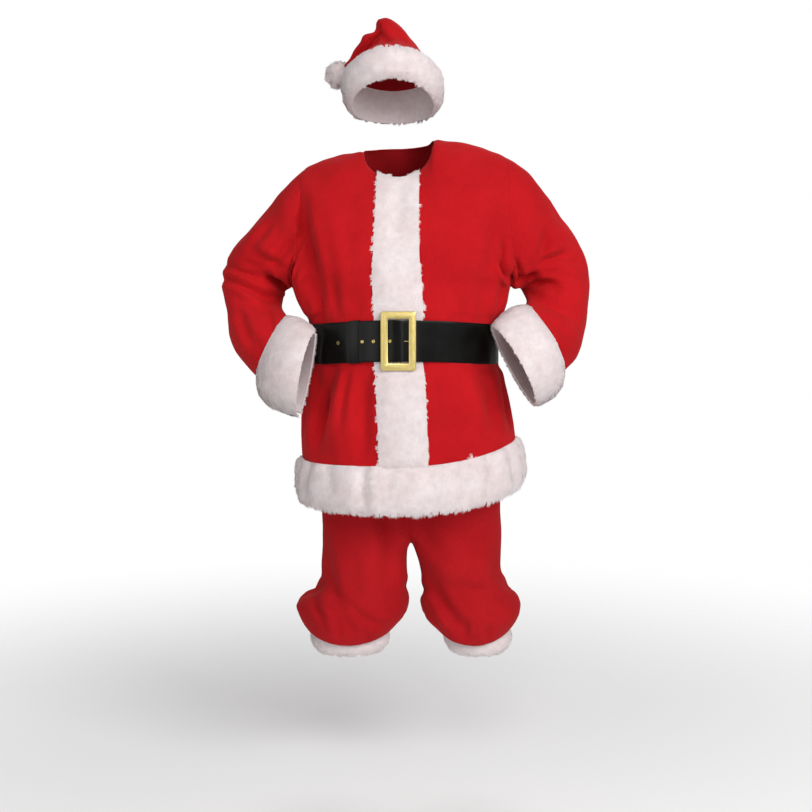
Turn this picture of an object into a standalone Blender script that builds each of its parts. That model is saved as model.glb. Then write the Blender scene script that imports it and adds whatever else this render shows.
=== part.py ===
"""A Santa suit as it hangs on its wearer: jacket, belt, trousers and hat, all of them hollow.

Metres, +Z up. The front faces -Y, and the wearer's left is at +X. Tables are in millimetres, with
heights above the floor; the origin is at the middle of the neck's base, where the wearer carries it.
"""

import math

import bmesh
import bpy
import numpy as np
from mathutils import Matrix, Vector

# Driving dimensions, in millimetres.
NECK_HEIGHT = 1560.0
CLOTH = 2.0
VINYL = 2.5
SEAM_GAP = 0.3
LIE_GAP = 0.3
CASING = 3.0

BAND_HALF = 58.0
BAND_COLUMNS = 2
QUARTER = 11
NECK_COLUMN = 4
ARM_ROWS = 9
ARM_COLUMNS = 2 * ARM_ROWS
FRONT_BAND_PILE = (14.0, 13.0, 7.0)
BAND_UNDER_BELT = 0.36
BAND_BY_BELT = 0.50
HEM_PILE = (7.0, 15.0, 17.0, 14.0, 7.0)
CUFF_PILE = (0.5, 13.0, 15.0, 13.0, 7.0)
LEG_PILE = (5.0, 9.0, 16.0, 9.0)
HAT_PILE = (12.0, 24.0, 29.0, 26.0, 9.0)

# Jacket rings from the hem up to the underarm. Steps is the number of mesh rows to the next ring.
BODY_COLUMNS = (
    "name", "steps", "right_z", "left_z", "front_z", "back_z", "mid_x", "right_x", "left_x",
    "front_y", "back_y",
)
BODY_ROWS = (
    ("hem", 4, 712, 752, 712, 704, 5, -250, 294, -222, 176),
    ("hem_seam", 2, 814, 864, 824, 812, 4, -248, 282, -217, 170),
    ("skirt", 2, 920, 945, 930, 915, 1, -245, 262, -209, 160),
    ("below_belt", 1, 1025, 1026, 1048, 998, -5, -238, 246, -198, 152),
    ("belt_bottom", 1, 1049, 1049, 1072, 1022, -8, -228, 235, -196, 146),
    ("belt_middle", 1, 1098, 1098, 1121, 1071, -8, -228, 235, -196, 146),
    ("belt_top", 1, 1147, 1147, 1170, 1120, -8, -228, 235, -196, 146),
    ("above_belt", 1, 1168, 1168, 1194, 1142, -8, -240, 246, -197, 149),
    ("ribs", 1, 1202, 1202, 1230, 1180, -10, -256, 258, -191, 147),
    ("underarm", 0, 1235, 1235, 1268, 1220, -12, -268, 267, -182, 144),
)
BULGE_FRONT, BULGE_SIDE = 0.58, 0.60

# The neck and the shoulder seams.
NECK_X, NECK_HALF_WIDTH, NECK_Y = -8.0, 84.0, 2.0
NECK_FRONT_Y, NECK_FRONT_Z = -80.0, 1500.0
NECK_BACK_Y, NECK_BACK_Z = 72.0, 1572.0
NECK_SIDE_Z = {-1: 1562.0, 1: 1591.0}
SHOULDER_CROWN = 12.0

# The largest folds, as troughs (or ridges, where the depth is negative) between two places on the
# front or the back. Width is where a fold has fallen to a third of its depth.
FOLD_COLUMNS = ("part", "facing", "x0", "z0", "x1", "z1", "width", "depth")
JACKET_FOLDS = (
    ("body", "front", -190, 1012, -196, 872, 24, 11),
    ("body", "front", -98, 1016, -104, 880, 26, 7),
    ("body", "front", -146, 1006, -150, 868, 22, -5),
    ("body", "front", 128, 1000, 150, 880, 30, 5),
    ("body", "front", -216, 1330, -150, 1216, 30, 8),
    ("body", "front", 226, 1330, 178, 1226, 26, 6),
    ("body", "front", -240, 1415, -232, 1290, 24, 7),
    ("body", "front", 238, 1420, 236, 1290, 24, 7),
    ("body", "back", -170, 990, -182, 868, 28, 10),
    ("body", "back", -62, 985, -70, 866, 30, 7),
    ("body", "back", 60, 985, 74, 866, 28, 8),
    ("body", "back", 178, 990, 196, 872, 28, 10),
    ("body", "back", -190, 1330, -120, 1200, 34, 9),
    ("body", "back", 200, 1340, 120, 1200, 34, 9),
    ("body", "back", 0, 1260, 8, 1190, 40, 6),
    ("arm", "front", -318, 1440, -280, 1330, 24, 9),
    ("arm", "front", -290, 1236, -372, 1286, 22, 12),
    ("arm", "front", -424, 1290, -372, 1240, 20, 7),
    ("arm", "front", -322, 1190, -398, 1196, 22, 7),
    ("arm", "front", 368, 1412, 346, 1330, 26, 8),
    ("arm", "front", 306, 1262, 420, 1330, 22, 11),
    ("arm", "front", 322, 1236, 412, 1240, 20, 9),
    ("arm", "front", 330, 1180, 420, 1160, 24, 6),
    ("arm", "back", -300, 1400, -330, 1300, 26, 8),
    ("arm", "back", -300, 1240, -400, 1290, 24, 10),
    ("arm", "back", -330, 1170, -410, 1190, 22, 7),
    ("arm", "back", 310, 1420, 350, 1310, 26, 8),
    ("arm", "back", 310, 1240, 420, 1290, 24, 10),
    ("arm", "back", 330, 1180, 430, 1180, 22, 7),
)
TROUSER_FOLDS = (
    ("leg", "front", -168, 560, -132, 424, 24, 8),
    ("leg", "front", -214, 500, -222, 430, 20, 8),
    ("leg", "front", -40, 560, -60, 430, 24, 6),
    ("leg", "front", 66, 530, 140, 405, 24, 9),
    ("leg", "front", 128, 496, 262, 468, 20, 9),
    ("leg", "front", 210, 560, 236, 520, 22, 5),
    ("leg", "back", -160, 560, -120, 424, 26, 9),
    ("leg", "back", -60, 540, -36, 440, 24, 7),
    ("leg", "back", 90, 550, 120, 430, 26, 9),
    ("leg", "back", 200, 540, 216, 430, 24, 7),
)

# Sleeve rings from the armhole to the opening: the point on the inner bend and the one opposite,
# half of the depth, the yaw that swings the ring's front towards the body, and the share of the
# depth that the back keeps where the hip presses it flat.
SLEEVE_COLUMNS = (
    "name", "steps", "inner_x", "inner_y", "inner_z", "outer_x", "outer_y", "outer_z", "half_depth", "yaw", "back",
)
SLEEVE_RIGHT = (
    ("armhole", 1, 268, 0, 1235, 238, 4, 1520, 86, 0, 1),
    ("cap", 2, 277, 6, 1231, 282, 10, 1480, 90, 0, 1),
    ("upper_arm", 2, 285, 20, 1227, 346, 30, 1406, 93, 0, 1),
    ("above_elbow", 1, 291, 34, 1221, 412, 52, 1331, 95, 0, 1),
    ("elbow", 1, 294, 40, 1214, 440, 60, 1272, 97, 0, 1),
    ("below_elbow", 1, 297, 32, 1206, 439, 48, 1212, 99, 0, 1),
    ("forearm", 1, 297, 10, 1196, 428, 18, 1146, 100, -3, 1),
    ("above_cuff", 1, 294, -19, 1184, 408, -17, 1078, 99, -6, 0.97),
    ("cuff_seam", 1, 280, -46, 1168, 352, -48, 1016, 98, -8, 0.92),
    ("cuff_upper", 1, 263, -72, 1158, 335, -76, 985, 96, -8, 0.80),
    ("cuff_middle", 1, 244, -98, 1151, 316, -103, 968, 94, -9, 0.66),
    ("cuff_lower", 1, 225, -124, 1145, 288, -129, 954, 92, -9, 0.54),
    ("opening", 0, 207, -146, 1138, 246, -150, 936, 90, -9, 0.46),
)
SLEEVE_LEFT = (
    ("armhole", 1, 267, 0, 1235, 252, 4, 1549, 86, 0, 1),
    ("cap", 2, 276, 6, 1230, 303, 10, 1518, 90, 0, 1),
    ("upper_arm", 2, 288, 20, 1231, 372, 30, 1432, 94, 0, 1),
    ("above_elbow", 1, 296, 34, 1229, 438, 52, 1336, 96, 0, 1),
    ("elbow", 1, 300, 40, 1224, 463, 60, 1272, 98, 0, 1),
    ("below_elbow", 1, 303, 32, 1217, 461, 48, 1205, 100, -2, 1),
    ("forearm", 1, 307, 8, 1210, 452, 18, 1138, 100, -6, 1),
    ("above_cuff", 1, 309, -20, 1203, 434, -20, 1074, 99, -10, 0.98),
    ("cuff_seam", 1, 304, -48, 1194, 392, -52, 1032, 98, -12, 0.94),
    ("cuff_upper", 1, 284, -68, 1185, 378, -74, 1010, 97, -12, 0.86),
    ("cuff_middle", 1, 262, -88, 1174, 364, -96, 991, 96, -12, 0.76),
    ("cuff_lower", 1, 240, -108, 1161, 343, -118, 975, 94, -13, 0.66),
    ("opening", 0, 218, -126, 1146, 318, -138, 962, 93, -13, 0.58),
)

# The belt: the strap's middle line as distances along the ring from the centre front (towards the
# wearer's left) and lifts off the jacket. It is folded round the buckle's pin, runs round the back
# and comes over itself to its free end on the wearer's right.
PIN_RADIUS, PIN_LIFT = 1.5, 9.9
FRAME_HALF_WIDTH, FRAME_HALF_HEIGHT = 41.5, 69.5
FRAME_BAR, FRAME_BACK, FRAME_FRONT = 16.5, 12.0, 17.0
FRAME_CHAMFER = 3.0
STRAP_CLOSE = LIE_GAP + VINYL / 2
STRAP_UNDER = (
    (-12, 6.95), (-22, 7.3), (-33, 7.4), (-46, 7.2), (-58, 6.3), (-74, 4.6),
    (-84, 4.0), (-100, 4.0), (-124, 4.0), (-140, 2.6), (-156, STRAP_CLOSE),
)
STRAP_OVER = (
    (104, STRAP_CLOSE), (88, 2.4), (74, 4.4), (58, 7.0), (46, 9.4), (38, 10.2), (24, 10.3), (13, 14.6),
    (9, 15.7), (4, 15.9), (-3, 15.9), (-9, 15.7), (-13, 14.6), (-24, 10.3), (-38, 10.2), (-46, 10.1),
    (-58, 9.2), (-74, 7.5), (-84, 6.9), (-100, 6.9), (-124, 6.9), (-140, 5.5), (-156, 4.4),
    (-180, 4.4), (-204, 4.4), (-228, 4.4), (-244, 4.4),
)
STRAP_FOLD_END = -7.5
KEEPER_ARCS = (-92.0, -115.0)
KEEPER_WALL = 1.7
STRAP_TIP = 16.0
EYELET_ARCS = (-18.5, -57.0, -84.0, -147.0)
EYELET_HOLE, EYELET_FLANGE, EYELET_BORE = 3.2, 4.6, 1.9
# The prong's route past its loop, as distances from the pin and lifts off the jacket.
PRONG_LOOP, PRONG_RADIUS = 3.0, 1.2
PRONG_ROUTE = ((6, 12.8), (11, 13.2), (16, 15.0), (21, 17.3), (26, 18.5), (33, 18.5))

# Trouser rows from the waist down to the crotch, then the leg rings.
TROUSER_PICKS = (0, 2, 4, 6, 8, 11, 14, 16, 18, 20, 22)
INSEAM_COLUMNS = 8
TROUSER_COLUMNS = ("z", "mid_x", "front_y", "back_y", "right_x", "left_x", "side_y", "thigh")
TROUSER_ROWS = (
    (960, 0, -178, 138, -218, 230, -4, 0),
    (880, 5, -165, 140, -214, 234, -4, 0),
    (800, 12, -150, 140, -208, 240, -4, 5),
    (725, 18, -128, 128, -203, 246, -4, 22),
    (655, 22, -92, 98, -200, 248, -4, 50),
)
CROTCH_Z = 596.0
LEG_COLUMNS = ("z", "rise", "inner_x", "outer_x", "front_y", "back_y")
LEG_RIGHT = (
    (575, 0, -15, 200, -128, 118),
    (535, 0, -13, 201, -130, 112),
    (495, 0, -14, 206, -132, 110),
    (466, 0, -15, 237, -137, 110),
    (440, 3, -15, 263, -142, 112),
    (408, 13, -7, 258, -140, 110),
    (382, 22, 9, 249, -132, 104),
    (362, 27, 23, 239, -120, 93),
    (371, 24, 30, 234, -113, 86),
    (392, 17, 33, 231, -112, 85),
    (404, 13, 44, 219, -104, 77),
    (408, 11, 56, 206, -93, 67),
    (386, 9, 53, 210, -94, 68),
    (358, 4, 45, 216, -95, 69),
    (331, 0, 53, 209, -90, 64),
)
LEG_LEFT = (
    (575, 0, 32, 247, -128, 118),
    (535, 0, 46, 247, -130, 112),
    (495, 0, 50, 262, -132, 110),
    (466, 0, 49, 285, -136, 110),
    (440, 3, 48, 297, -140, 112),
    (408, 13, 54, 292, -138, 110),
    (382, 22, 68, 282, -131, 104),
    (362, 27, 84, 270, -120, 93),
    (371, 24, 91, 264, -113, 86),
    (392, 17, 94, 261, -112, 85),
    (404, 13, 105, 250, -104, 77),
    (408, 11, 117, 238, -93, 67),
    (386, 9, 116, 243, -94, 68),
    (358, 4, 118, 262, -95, 69),
    (331, 0, 124, 254, -90, 64),
)
LEG_FUR_ROWS = 3

# Hat rings from the band's lower edge up and over to the tail's tip.
HAT_COLUMNS = ("name", "steps", "x", "y", "z", "half_x", "half_y", "pitch", "roll", "arch")
HAT_ROWS = (
    ("rim", 4, -22, -4, 1677, 101, 121, 24, 0, 8),
    ("band_seam", 1, -22, -4, 1757, 97, 113, 24, 0, 3),
    ("dome", 1, -22, 2, 1786, 77, 92, 19, 0, 0),
    ("over_head", 1, -20, 6, 1809, 56, 68, 12, -4, 0),
    ("shoulder", 1, -24, 8, 1832, 41, 50, 6, -16, 0),
    ("peak", 1, -38, 8, 1853, 29, 37, 0, -48, 0),
    ("fold", 1, -51, 11, 1859, 24, 30, 0, -86, 0),
    ("dip", 1, -69, 16, 1843, 14, 24, 0, -108, 0),
    ("tail", 1, -82, 25, 1830, 16, 22, 0, -126, 0),
    ("tail_middle", 1, -89, 33, 1815, 15, 20, 0, -130, 0),
    ("tail_low", 1, -106, 42, 1797, 13, 15, 8, -131, 0),
    ("tail_neck", 1, -121, 47, 1783, 10, 12, 16, -133, 0),
    ("tail_end", 0, -136.5, 53, 1767, 9, 9, 21, -135, 0),
)
HAT_COLUMN_COUNT = 24
POMPOM_CENTRE = (-153.0, 62.0, 1751.0)
POMPOM_CORE, POMPOM_REACH = 26.0, 38.0
POMPOM_TAIL = (0.66, -0.36, 0.66)

RED, DARK_RED, FUR = (0.58, 0.015, 0.02), (0.45, 0.012, 0.016), (0.86, 0.82, 0.82)
BLACK, GOLD = (0.008, 0.008, 0.009), (0.78, 0.62, 0.30)


def records(columns, rows):
    return [dict(zip(columns, row)) for row in rows]


def catmull_rom(a, b, c, d, t):
    bend, turn = 2 * a - 5 * b + 4 * c - d, 3 * b - a - 3 * c + d
    return 0.5 * (2 * b + (c - a) * t + bend * t**2 + turn * t**3)


def smooth_rows(columns, rows):
    """The table's rows with a smooth curve's rows between them, each row as many as its steps say."""
    names = [column for column in columns if column not in ("name", "steps")]
    table = records(columns, rows)
    values = np.array([[float(row[name]) for name in names] for row in table])
    made = []
    for i, row in enumerate(table):
        for step in range(row["steps"]):
            before, after = values[max(i - 1, 0)], values[min(i + 2, len(values) - 1)]
            at = catmull_rom(before, values[i], values[i + 1], after, step / row["steps"])
            made.append(dict(zip(names, at), name=row["name"] if step == 0 else ""))
    made.append(dict(zip(names, values[-1]), name=table[-1]["name"]))
    return made


def bezier(p0, p1, p2, p3, count=49):
    t = np.linspace(0, 1, count)[:, None]
    return (1 - t) ** 3 * p0 + 3 * (1 - t) ** 2 * t * p1 + 3 * (1 - t) * t**2 * p2 + t**3 * p3


def along(curve, distances):
    """Points of a polyline at these distances from its start."""
    steps = np.linalg.norm(np.diff(curve, axis=0), axis=1)
    reached = np.concatenate([[0], np.cumsum(steps)])
    return np.stack([np.interp(distances, reached, curve[:, k]) for k in range(3)], axis=1)


def length_of(curve):
    return float(np.linalg.norm(np.diff(curve, axis=0), axis=1).sum())


def hermite(p0, p1, m0, m1, t):
    return (
        (2 * t**3 - 3 * t**2 + 1) * p0 + (t**3 - 2 * t**2 + t) * m0
        + (3 * t**2 - 2 * t**3) * p1 + (t**3 - t**2) * m1
    )


class Sheet:
    """A surface that several cut pieces share. Its normals are taken over all of them, so that two
    pieces meet at a seam with parallel edges."""

    def __init__(self):
        self.index = {}
        self.points = []
        self.faces = {}

    def add(self, key, point):
        if key not in self.index:
            self.index[key] = len(self.points)
            self.points.append(np.array(point, float))
        return self.index[key]

    def quad(self, piece, *keys):
        corners = [self.index[key] for key in keys]
        self.faces.setdefault(piece, []).append(corners)

    def array(self):
        return np.array(self.points)

    def normals(self):
        points = self.array()
        normals = np.zeros_like(points)
        for faces in self.faces.values():
            for a, b, c, d in faces:
                normals[[a, b, c, d]] += np.cross(points[c] - points[a], points[d] - points[b])
        return normals / np.maximum(np.linalg.norm(normals, axis=1, keepdims=True), 1e-9)


def material(name, colour, roughness, metallic=0.0):
    made = bpy.data.materials.new(name)
    made.use_nodes = True
    shader = made.node_tree.nodes["Principled BSDF"]
    shader.inputs["Base Color"].default_value = (*colour, 1)
    shader.inputs["Roughness"].default_value = roughness
    shader.inputs["Metallic"].default_value = metallic
    made.diffuse_color = (*colour, 1)
    return made


def new_object(name, points, faces, look, sharp=50):
    """A mesh object from points in millimetres, with heights above the floor."""
    placed = (np.array(points) - (0, 0, NECK_HEIGHT)) / 1000
    mesh = bpy.data.meshes.new(name)
    mesh.from_pydata(placed.tolist(), [], faces)
    mesh.shade_smooth()
    mesh.set_sharp_from_angle(angle=math.radians(sharp))
    mesh.materials.append(material(name, *look))
    made = bpy.data.objects.new(name, mesh)
    bpy.context.scene.collection.objects.link(made)
    return made


def shell(name, sheet, pieces, low, high, look):
    """A closed wall on these faces of a sheet, from its low to its high offset along the normals.
    Its edges stand half a seam's gap inside the faces, and both sides of a seam are split alike."""
    points, normals = sheet.array(), sheet.normals()
    low = np.broadcast_to(low, len(points))
    high = np.broadcast_to(high, len(points))
    quads = [quad for piece in pieces for quad in sheet.faces[piece]]
    edges = {}
    for quad in quads:
        for a, b in zip(quad, quad[1:] + quad[:1]):
            edges[(a, b)] = True
    border = [(a, b) for a, b in edges if (b, a) not in edges]
    inward = {}
    for a, b in border:
        run = points[b] - points[a]
        side = np.cross(normals[a] + normals[b], run)
        side /= np.linalg.norm(side)
        for end in (a, b):
            inward.setdefault(end, []).append(side)
    moved = points.copy()
    for end, sides in inward.items():
        pull = sum(sides)
        pull /= np.linalg.norm(pull)
        moved[end] += pull * (SEAM_GAP / 2) / max(float(np.dot(pull, sides[0])), 0.4)
    used = sorted({corner for quad in quads for corner in quad})
    place = {corner: i for i, corner in enumerate(used)}
    count = len(used)
    outer = [moved[v] + normals[v] * high[v] for v in used]
    inner = [moved[v] + normals[v] * low[v] for v in used]
    faces = []
    for a, b, c, d in ([place[v] for v in quad] for quad in quads):
        faces += [(a, b, c), (a, c, d)]
        faces += [(c + count, b + count, a + count), (d + count, c + count, a + count)]
    for a, b in border:
        a, b = place[a], place[b]
        if a < b:
            faces += [(b, a, a + count), (b, a + count, b + count)]
        else:
            faces += [(b, a, b + count), (a, a + count, b + count)]
    return new_object(name, outer + inner, faces, look)


def fold(sheet, rows, still=()):
    """Moves a sheet's points in or out along their normals beside each of these folds."""
    points, normals = sheet.array(), sheet.normals()
    for row in records(FOLD_COLUMNS, rows):
        start, end = np.array([row["x0"], row["z0"]], float), np.array([row["x1"], row["z1"]], float)
        run = end - start
        turned_to = np.clip(normals[:, 1] * (-1.6 if row["facing"] == "front" else 1.6), 0, 1)
        for key, i in sheet.index.items():
            if key in still or (key[0] == "arm") != (row["part"] == "arm") or not turned_to[i]:
                continue
            place = points[i][[0, 2]] - start
            off = place - run * np.clip(np.dot(place, run) / np.dot(run, run), 0, 1)
            amount = row["depth"] * math.exp(-np.dot(off, off) / row["width"] ** 2) * turned_to[i]
            sheet.points[i] = sheet.points[i] - normals[i] * amount


# ---- the jacket's surface -------------------------------------------------------------------------

def quarter_row(row, side, front):
    """A quarter of a body ring, from the centre to the side seam, as points at the mesh columns."""
    side_x = row["left_x"] if side > 0 else row["right_x"]
    side_z = row["left_z"] if side > 0 else row["right_z"]
    middle_y = row["front_y"] if front else row["back_y"]
    middle_z = row["front_z"] if front else row["back_z"]
    start = np.array([row["mid_x"], middle_y, middle_z])
    end = np.array([side_x, 0.0, side_z])
    handle = start + (BULGE_FRONT * (side_x - row["mid_x"]), 0, 0)
    curve = bezier(start, handle, end + (0, BULGE_SIDE * middle_y, 0), end)
    return along(curve, column_distances(length_of(curve), front))


def column_distances(length, front):
    if not front:
        return np.linspace(0, length, QUARTER + 1)
    band = np.linspace(0, BAND_HALF, BAND_COLUMNS + 1)
    return np.concatenate([band[:-1], np.linspace(BAND_HALF, length, QUARTER + 1 - BAND_COLUMNS)])


def ring_column(side, front, j):
    """The column number round the body: 0 at the centre front, 11 at the left side, 22 at the back."""
    if front:
        return (side * j) % (4 * QUARTER)
    return (2 * QUARTER - side * j) % (4 * QUARTER)


def top_row(side, front):
    """The neckline from the centre to the neck point, then the shoulder seam out to its tip."""
    neck_y = NECK_FRONT_Y if front else NECK_BACK_Y
    neck_z = NECK_FRONT_Z if front else NECK_BACK_Z
    turn = np.linspace(0, math.pi / 2, 25)
    neckline = np.stack([
        NECK_X + side * NECK_HALF_WIDTH * np.sin(turn),
        NECK_Y + (neck_y - NECK_Y) * np.cos(turn),
        neck_z + (NECK_SIDE_Z[side] - neck_z) * (1 - np.cos(turn)),
    ], axis=1)
    around = length_of(neckline)
    band = [0, BAND_HALF / 2, BAND_HALF] if front else list(np.linspace(0, around, NECK_COLUMN + 1)[:3])
    distances = band + list(np.linspace(band[-1], around, NECK_COLUMN - 1)[1:])
    tip = arm_ring(SLEEVE_LEFT if side > 0 else SLEEVE_RIGHT, side)[0][0]
    share = np.linspace(0, 1, QUARTER - NECK_COLUMN + 1)[1:, None]
    seam = neckline[-1] * (1 - share) + tip * share
    seam[:, 2] += SHOULDER_CROWN * np.sin(math.pi * share[:, 0])
    return np.concatenate([along(neckline, distances), seam])


def arm_ring(table, side):
    """The sleeve's rings, each from its outer point to the front, the inner bend and the back."""
    rings = []
    for row in smooth_rows(SLEEVE_COLUMNS, table):
        inner = np.array([side * row["inner_x"], row["inner_y"], row["inner_z"]])
        outer = np.array([side * row["outer_x"], row["outer_y"], row["outer_z"]])
        half = (outer - inner) / 2
        yaw = math.radians(row["yaw"])
        depth = np.array([-side * math.sin(yaw), -math.cos(yaw), 0])
        depth -= half * np.dot(depth, half) / np.dot(half, half)
        depth *= row["half_depth"] / np.linalg.norm(depth)
        turn = np.arange(ARM_COLUMNS) * 2 * math.pi / ARM_COLUMNS
        ahead = np.sin(turn) * np.where(np.sin(turn) < 0, row["back"], 1)
        rings.append((inner + outer) / 2 + np.outer(np.cos(turn), half) + np.outer(ahead, depth))
    return rings


def upper_quarter(sheet, rows, side, front):
    """The patch from the underarm row up to the neckline and shoulder, between the centre line and
    the armhole."""
    sleeve = arm_ring(SLEEVE_LEFT if side > 0 else SLEEVE_RIGHT, side)[0]
    bottom = quarter_row(rows[-1], side, front)
    before = quarter_row(rows[-2], side, front)
    top = top_row(side, front)
    rise = bottom - before
    rise *= (np.linalg.norm(top - bottom, axis=1) / np.linalg.norm(rise, axis=1))[:, None]
    over = np.array([0.0, 235.0 if front else -235.0, 20.0])
    at_neck = np.array([0.0, 130.0, 190.0]) if front else np.array([0.0, -150.0, 230.0])
    share = np.minimum(np.arange(QUARTER + 1) / NECK_COLUMN, 1)[:, None]
    arrive = at_neck * (1 - share) + over * share
    turns = [ARM_ROWS - k for k in range(ARM_ROWS + 1)]
    armhole = [sleeve[k if front else (ARM_COLUMNS - k) % ARM_COLUMNS] for k in turns]
    which = "front" if front else "back"
    for k in range(ARM_ROWS + 1):
        v = k / ARM_ROWS
        middle = hermite(bottom, top, rise, arrive, v)
        centre = hermite(bottom[0], top[0], rise[0], arrive[0], v)
        for j in range(QUARTER + 1):
            u = j / QUARTER
            point = middle[j] + (1 - u) * (centre - middle[0]) + u * (armhole[k] - middle[QUARTER])
            sheet.add(upper_key(which, side, k, j), point)


def upper_key(which, side, k, j):
    front = which == "front"
    if k == 0:
        return ("ring", -1, ring_column(side, front, j))
    if j == QUARTER:
        return ("arm", side, 0, ARM_ROWS - k if front else (ARM_ROWS + k) % ARM_COLUMNS)
    if k == ARM_ROWS and j >= NECK_COLUMN:
        return ("shoulder", side, j)
    return (which, k, ring_column(side, front, j))


def jacket_sheet():
    sheet = Sheet()
    rows = smooth_rows(BODY_COLUMNS, BODY_ROWS)
    last = len(rows) - 1
    around = 4 * QUARTER
    for r, row in enumerate(rows):
        for side in (1, -1):
            for front in (True, False):
                for j, point in enumerate(quarter_row(row, side, front)):
                    key = ("ring", r if r < last else -1, ring_column(side, front, j))
                    sheet.add(key, point)
    level = {row["name"]: r for r, row in enumerate(rows) if row["name"]}
    seam = level["hem_seam"]

    def ring_key(r, c):
        return ("ring", r if r < last else -1, c % around)

    for c in range(around):
        for r in range(last):
            if r < seam:
                piece = "hem"
            elif c < QUARTER:
                piece = "front_left"
            elif c >= 3 * QUARTER:
                piece = "front_right"
            else:
                piece = "back"
            banded = c < BAND_COLUMNS or c >= around - BAND_COLUMNS
            corners = [ring_key(r, c), ring_key(r, c + 1), ring_key(r + 1, c + 1), ring_key(r + 1, c)]
            sheet.quad(piece, *corners)
            if banded and r >= seam:
                sheet.quad("band", *corners)
            if level["belt_bottom"] <= r < level["belt_middle"]:
                sheet.quad("waistband", *corners)
    for side, table in ((1, SLEEVE_LEFT), (-1, SLEEVE_RIGHT)):
        rings = arm_ring(table, side)
        hand = "left" if side > 0 else "right"
        for r, ring in enumerate(rings):
            for c, point in enumerate(ring):
                sheet.add(("arm", side, r, c), point)
        cuff = len(rings) - len(CUFF_PILE)

        def arm_key(r, c, side=side):
            if r == 0 and c == ARM_ROWS:
                return ("ring", -1, ring_column(side, True, QUARTER))
            return ("arm", side, r, c % ARM_COLUMNS)

        for r in range(len(rings) - 1):
            piece = f"sleeve_{hand}" if r < cuff else f"cuff_{hand}"
            for c in range(ARM_COLUMNS):
                corners = [arm_key(r, c), arm_key(r, c + 1), arm_key(r + 1, c + 1), arm_key(r + 1, c)]
                sheet.quad(piece, *(corners if side > 0 else corners[::-1]))
        for front in (True, False):
            upper_quarter(sheet, rows, side, front)
            which = "front" if front else "back"
            piece = f"front_{hand}" if front else "back"
            for k in range(ARM_ROWS):
                for j in range(QUARTER):
                    corners = [
                        upper_key(which, side, k, j), upper_key(which, side, k, j + 1),
                        upper_key(which, side, k + 1, j + 1), upper_key(which, side, k + 1, j),
                    ]
                    if (side > 0) != front:
                        corners.reverse()
                    sheet.quad(piece, *corners)
                    if front and j < BAND_COLUMNS:
                        sheet.quad("band", *corners)
    return sheet, level


def offsets(sheet, rule, otherwise=0.0):
    """One offset for each point of a sheet, from a rule on its key that returns None elsewhere."""
    made = np.full(len(sheet.points), otherwise)
    for key, i in sheet.index.items():
        value = rule(key)
        if value is not None:
            made[i] = value
    return made


def build_jacket(sheet, level):
    for hand in ("right", "left"):
        shell(f"jacket_front_{hand}", sheet, [f"front_{hand}"], -CLOTH, 0, (RED, 0.85))
        shell(f"sleeve_{hand}", sheet, [f"sleeve_{hand}"], -CLOTH, 0, (RED, 0.85))
        table = smooth_rows(SLEEVE_COLUMNS, SLEEVE_LEFT if hand == "left" else SLEEVE_RIGHT)
        first = len(table) - len(CUFF_PILE)

        def cuff_pile(key, first=first):
            return CUFF_PILE[key[2] - first] if key[0] == "arm" and key[2] >= first else None

        shell(f"cuff_fur_{hand}", sheet, [f"cuff_{hand}"], -CLOTH, offsets(sheet, cuff_pile), (FUR, 0.95))
    shell("jacket_back", sheet, ["back"], -CLOTH, 0, (RED, 0.85))

    def hem_pile(key):
        return HEM_PILE[key[1]] if key[0] == "ring" and 0 <= key[1] < len(HEM_PILE) else None

    shell("hem_fur", sheet, ["hem"], -CLOTH, offsets(sheet, hem_pile), (FUR, 0.95))
    pile = offsets(sheet, lambda key: band_pile(key, level))
    shell("front_band_fur", sheet, ["band"], LIE_GAP, LIE_GAP + pile, (FUR, 0.95))
    inside = -CLOTH - LIE_GAP
    shell("trouser_waistband", sheet, ["waistband"], inside - CASING, inside, (DARK_RED, 0.85))


def band_pile(key, level):
    """How thick the fur is on the front: low under the belt, and thinner beside it."""
    if key[0] not in ("ring", "front"):
        return None
    column = key[2]
    across = min(column, 4 * QUARTER - column)
    if across > BAND_COLUMNS:
        return None
    share = 1.0
    if key[0] == "front" and key[1] == ARM_ROWS:
        share = BAND_BY_BELT
    elif key[0] == "ring" and key[1] > 0:
        if level["belt_bottom"] <= key[1] <= level["belt_top"]:
            share = BAND_UNDER_BELT
        elif level["below_belt"] <= key[1] <= level["above_belt"]:
            share = BAND_BY_BELT
    return FRONT_BAND_PILE[across] * share


# ---- the belt -------------------------------------------------------------------------------------

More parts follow.
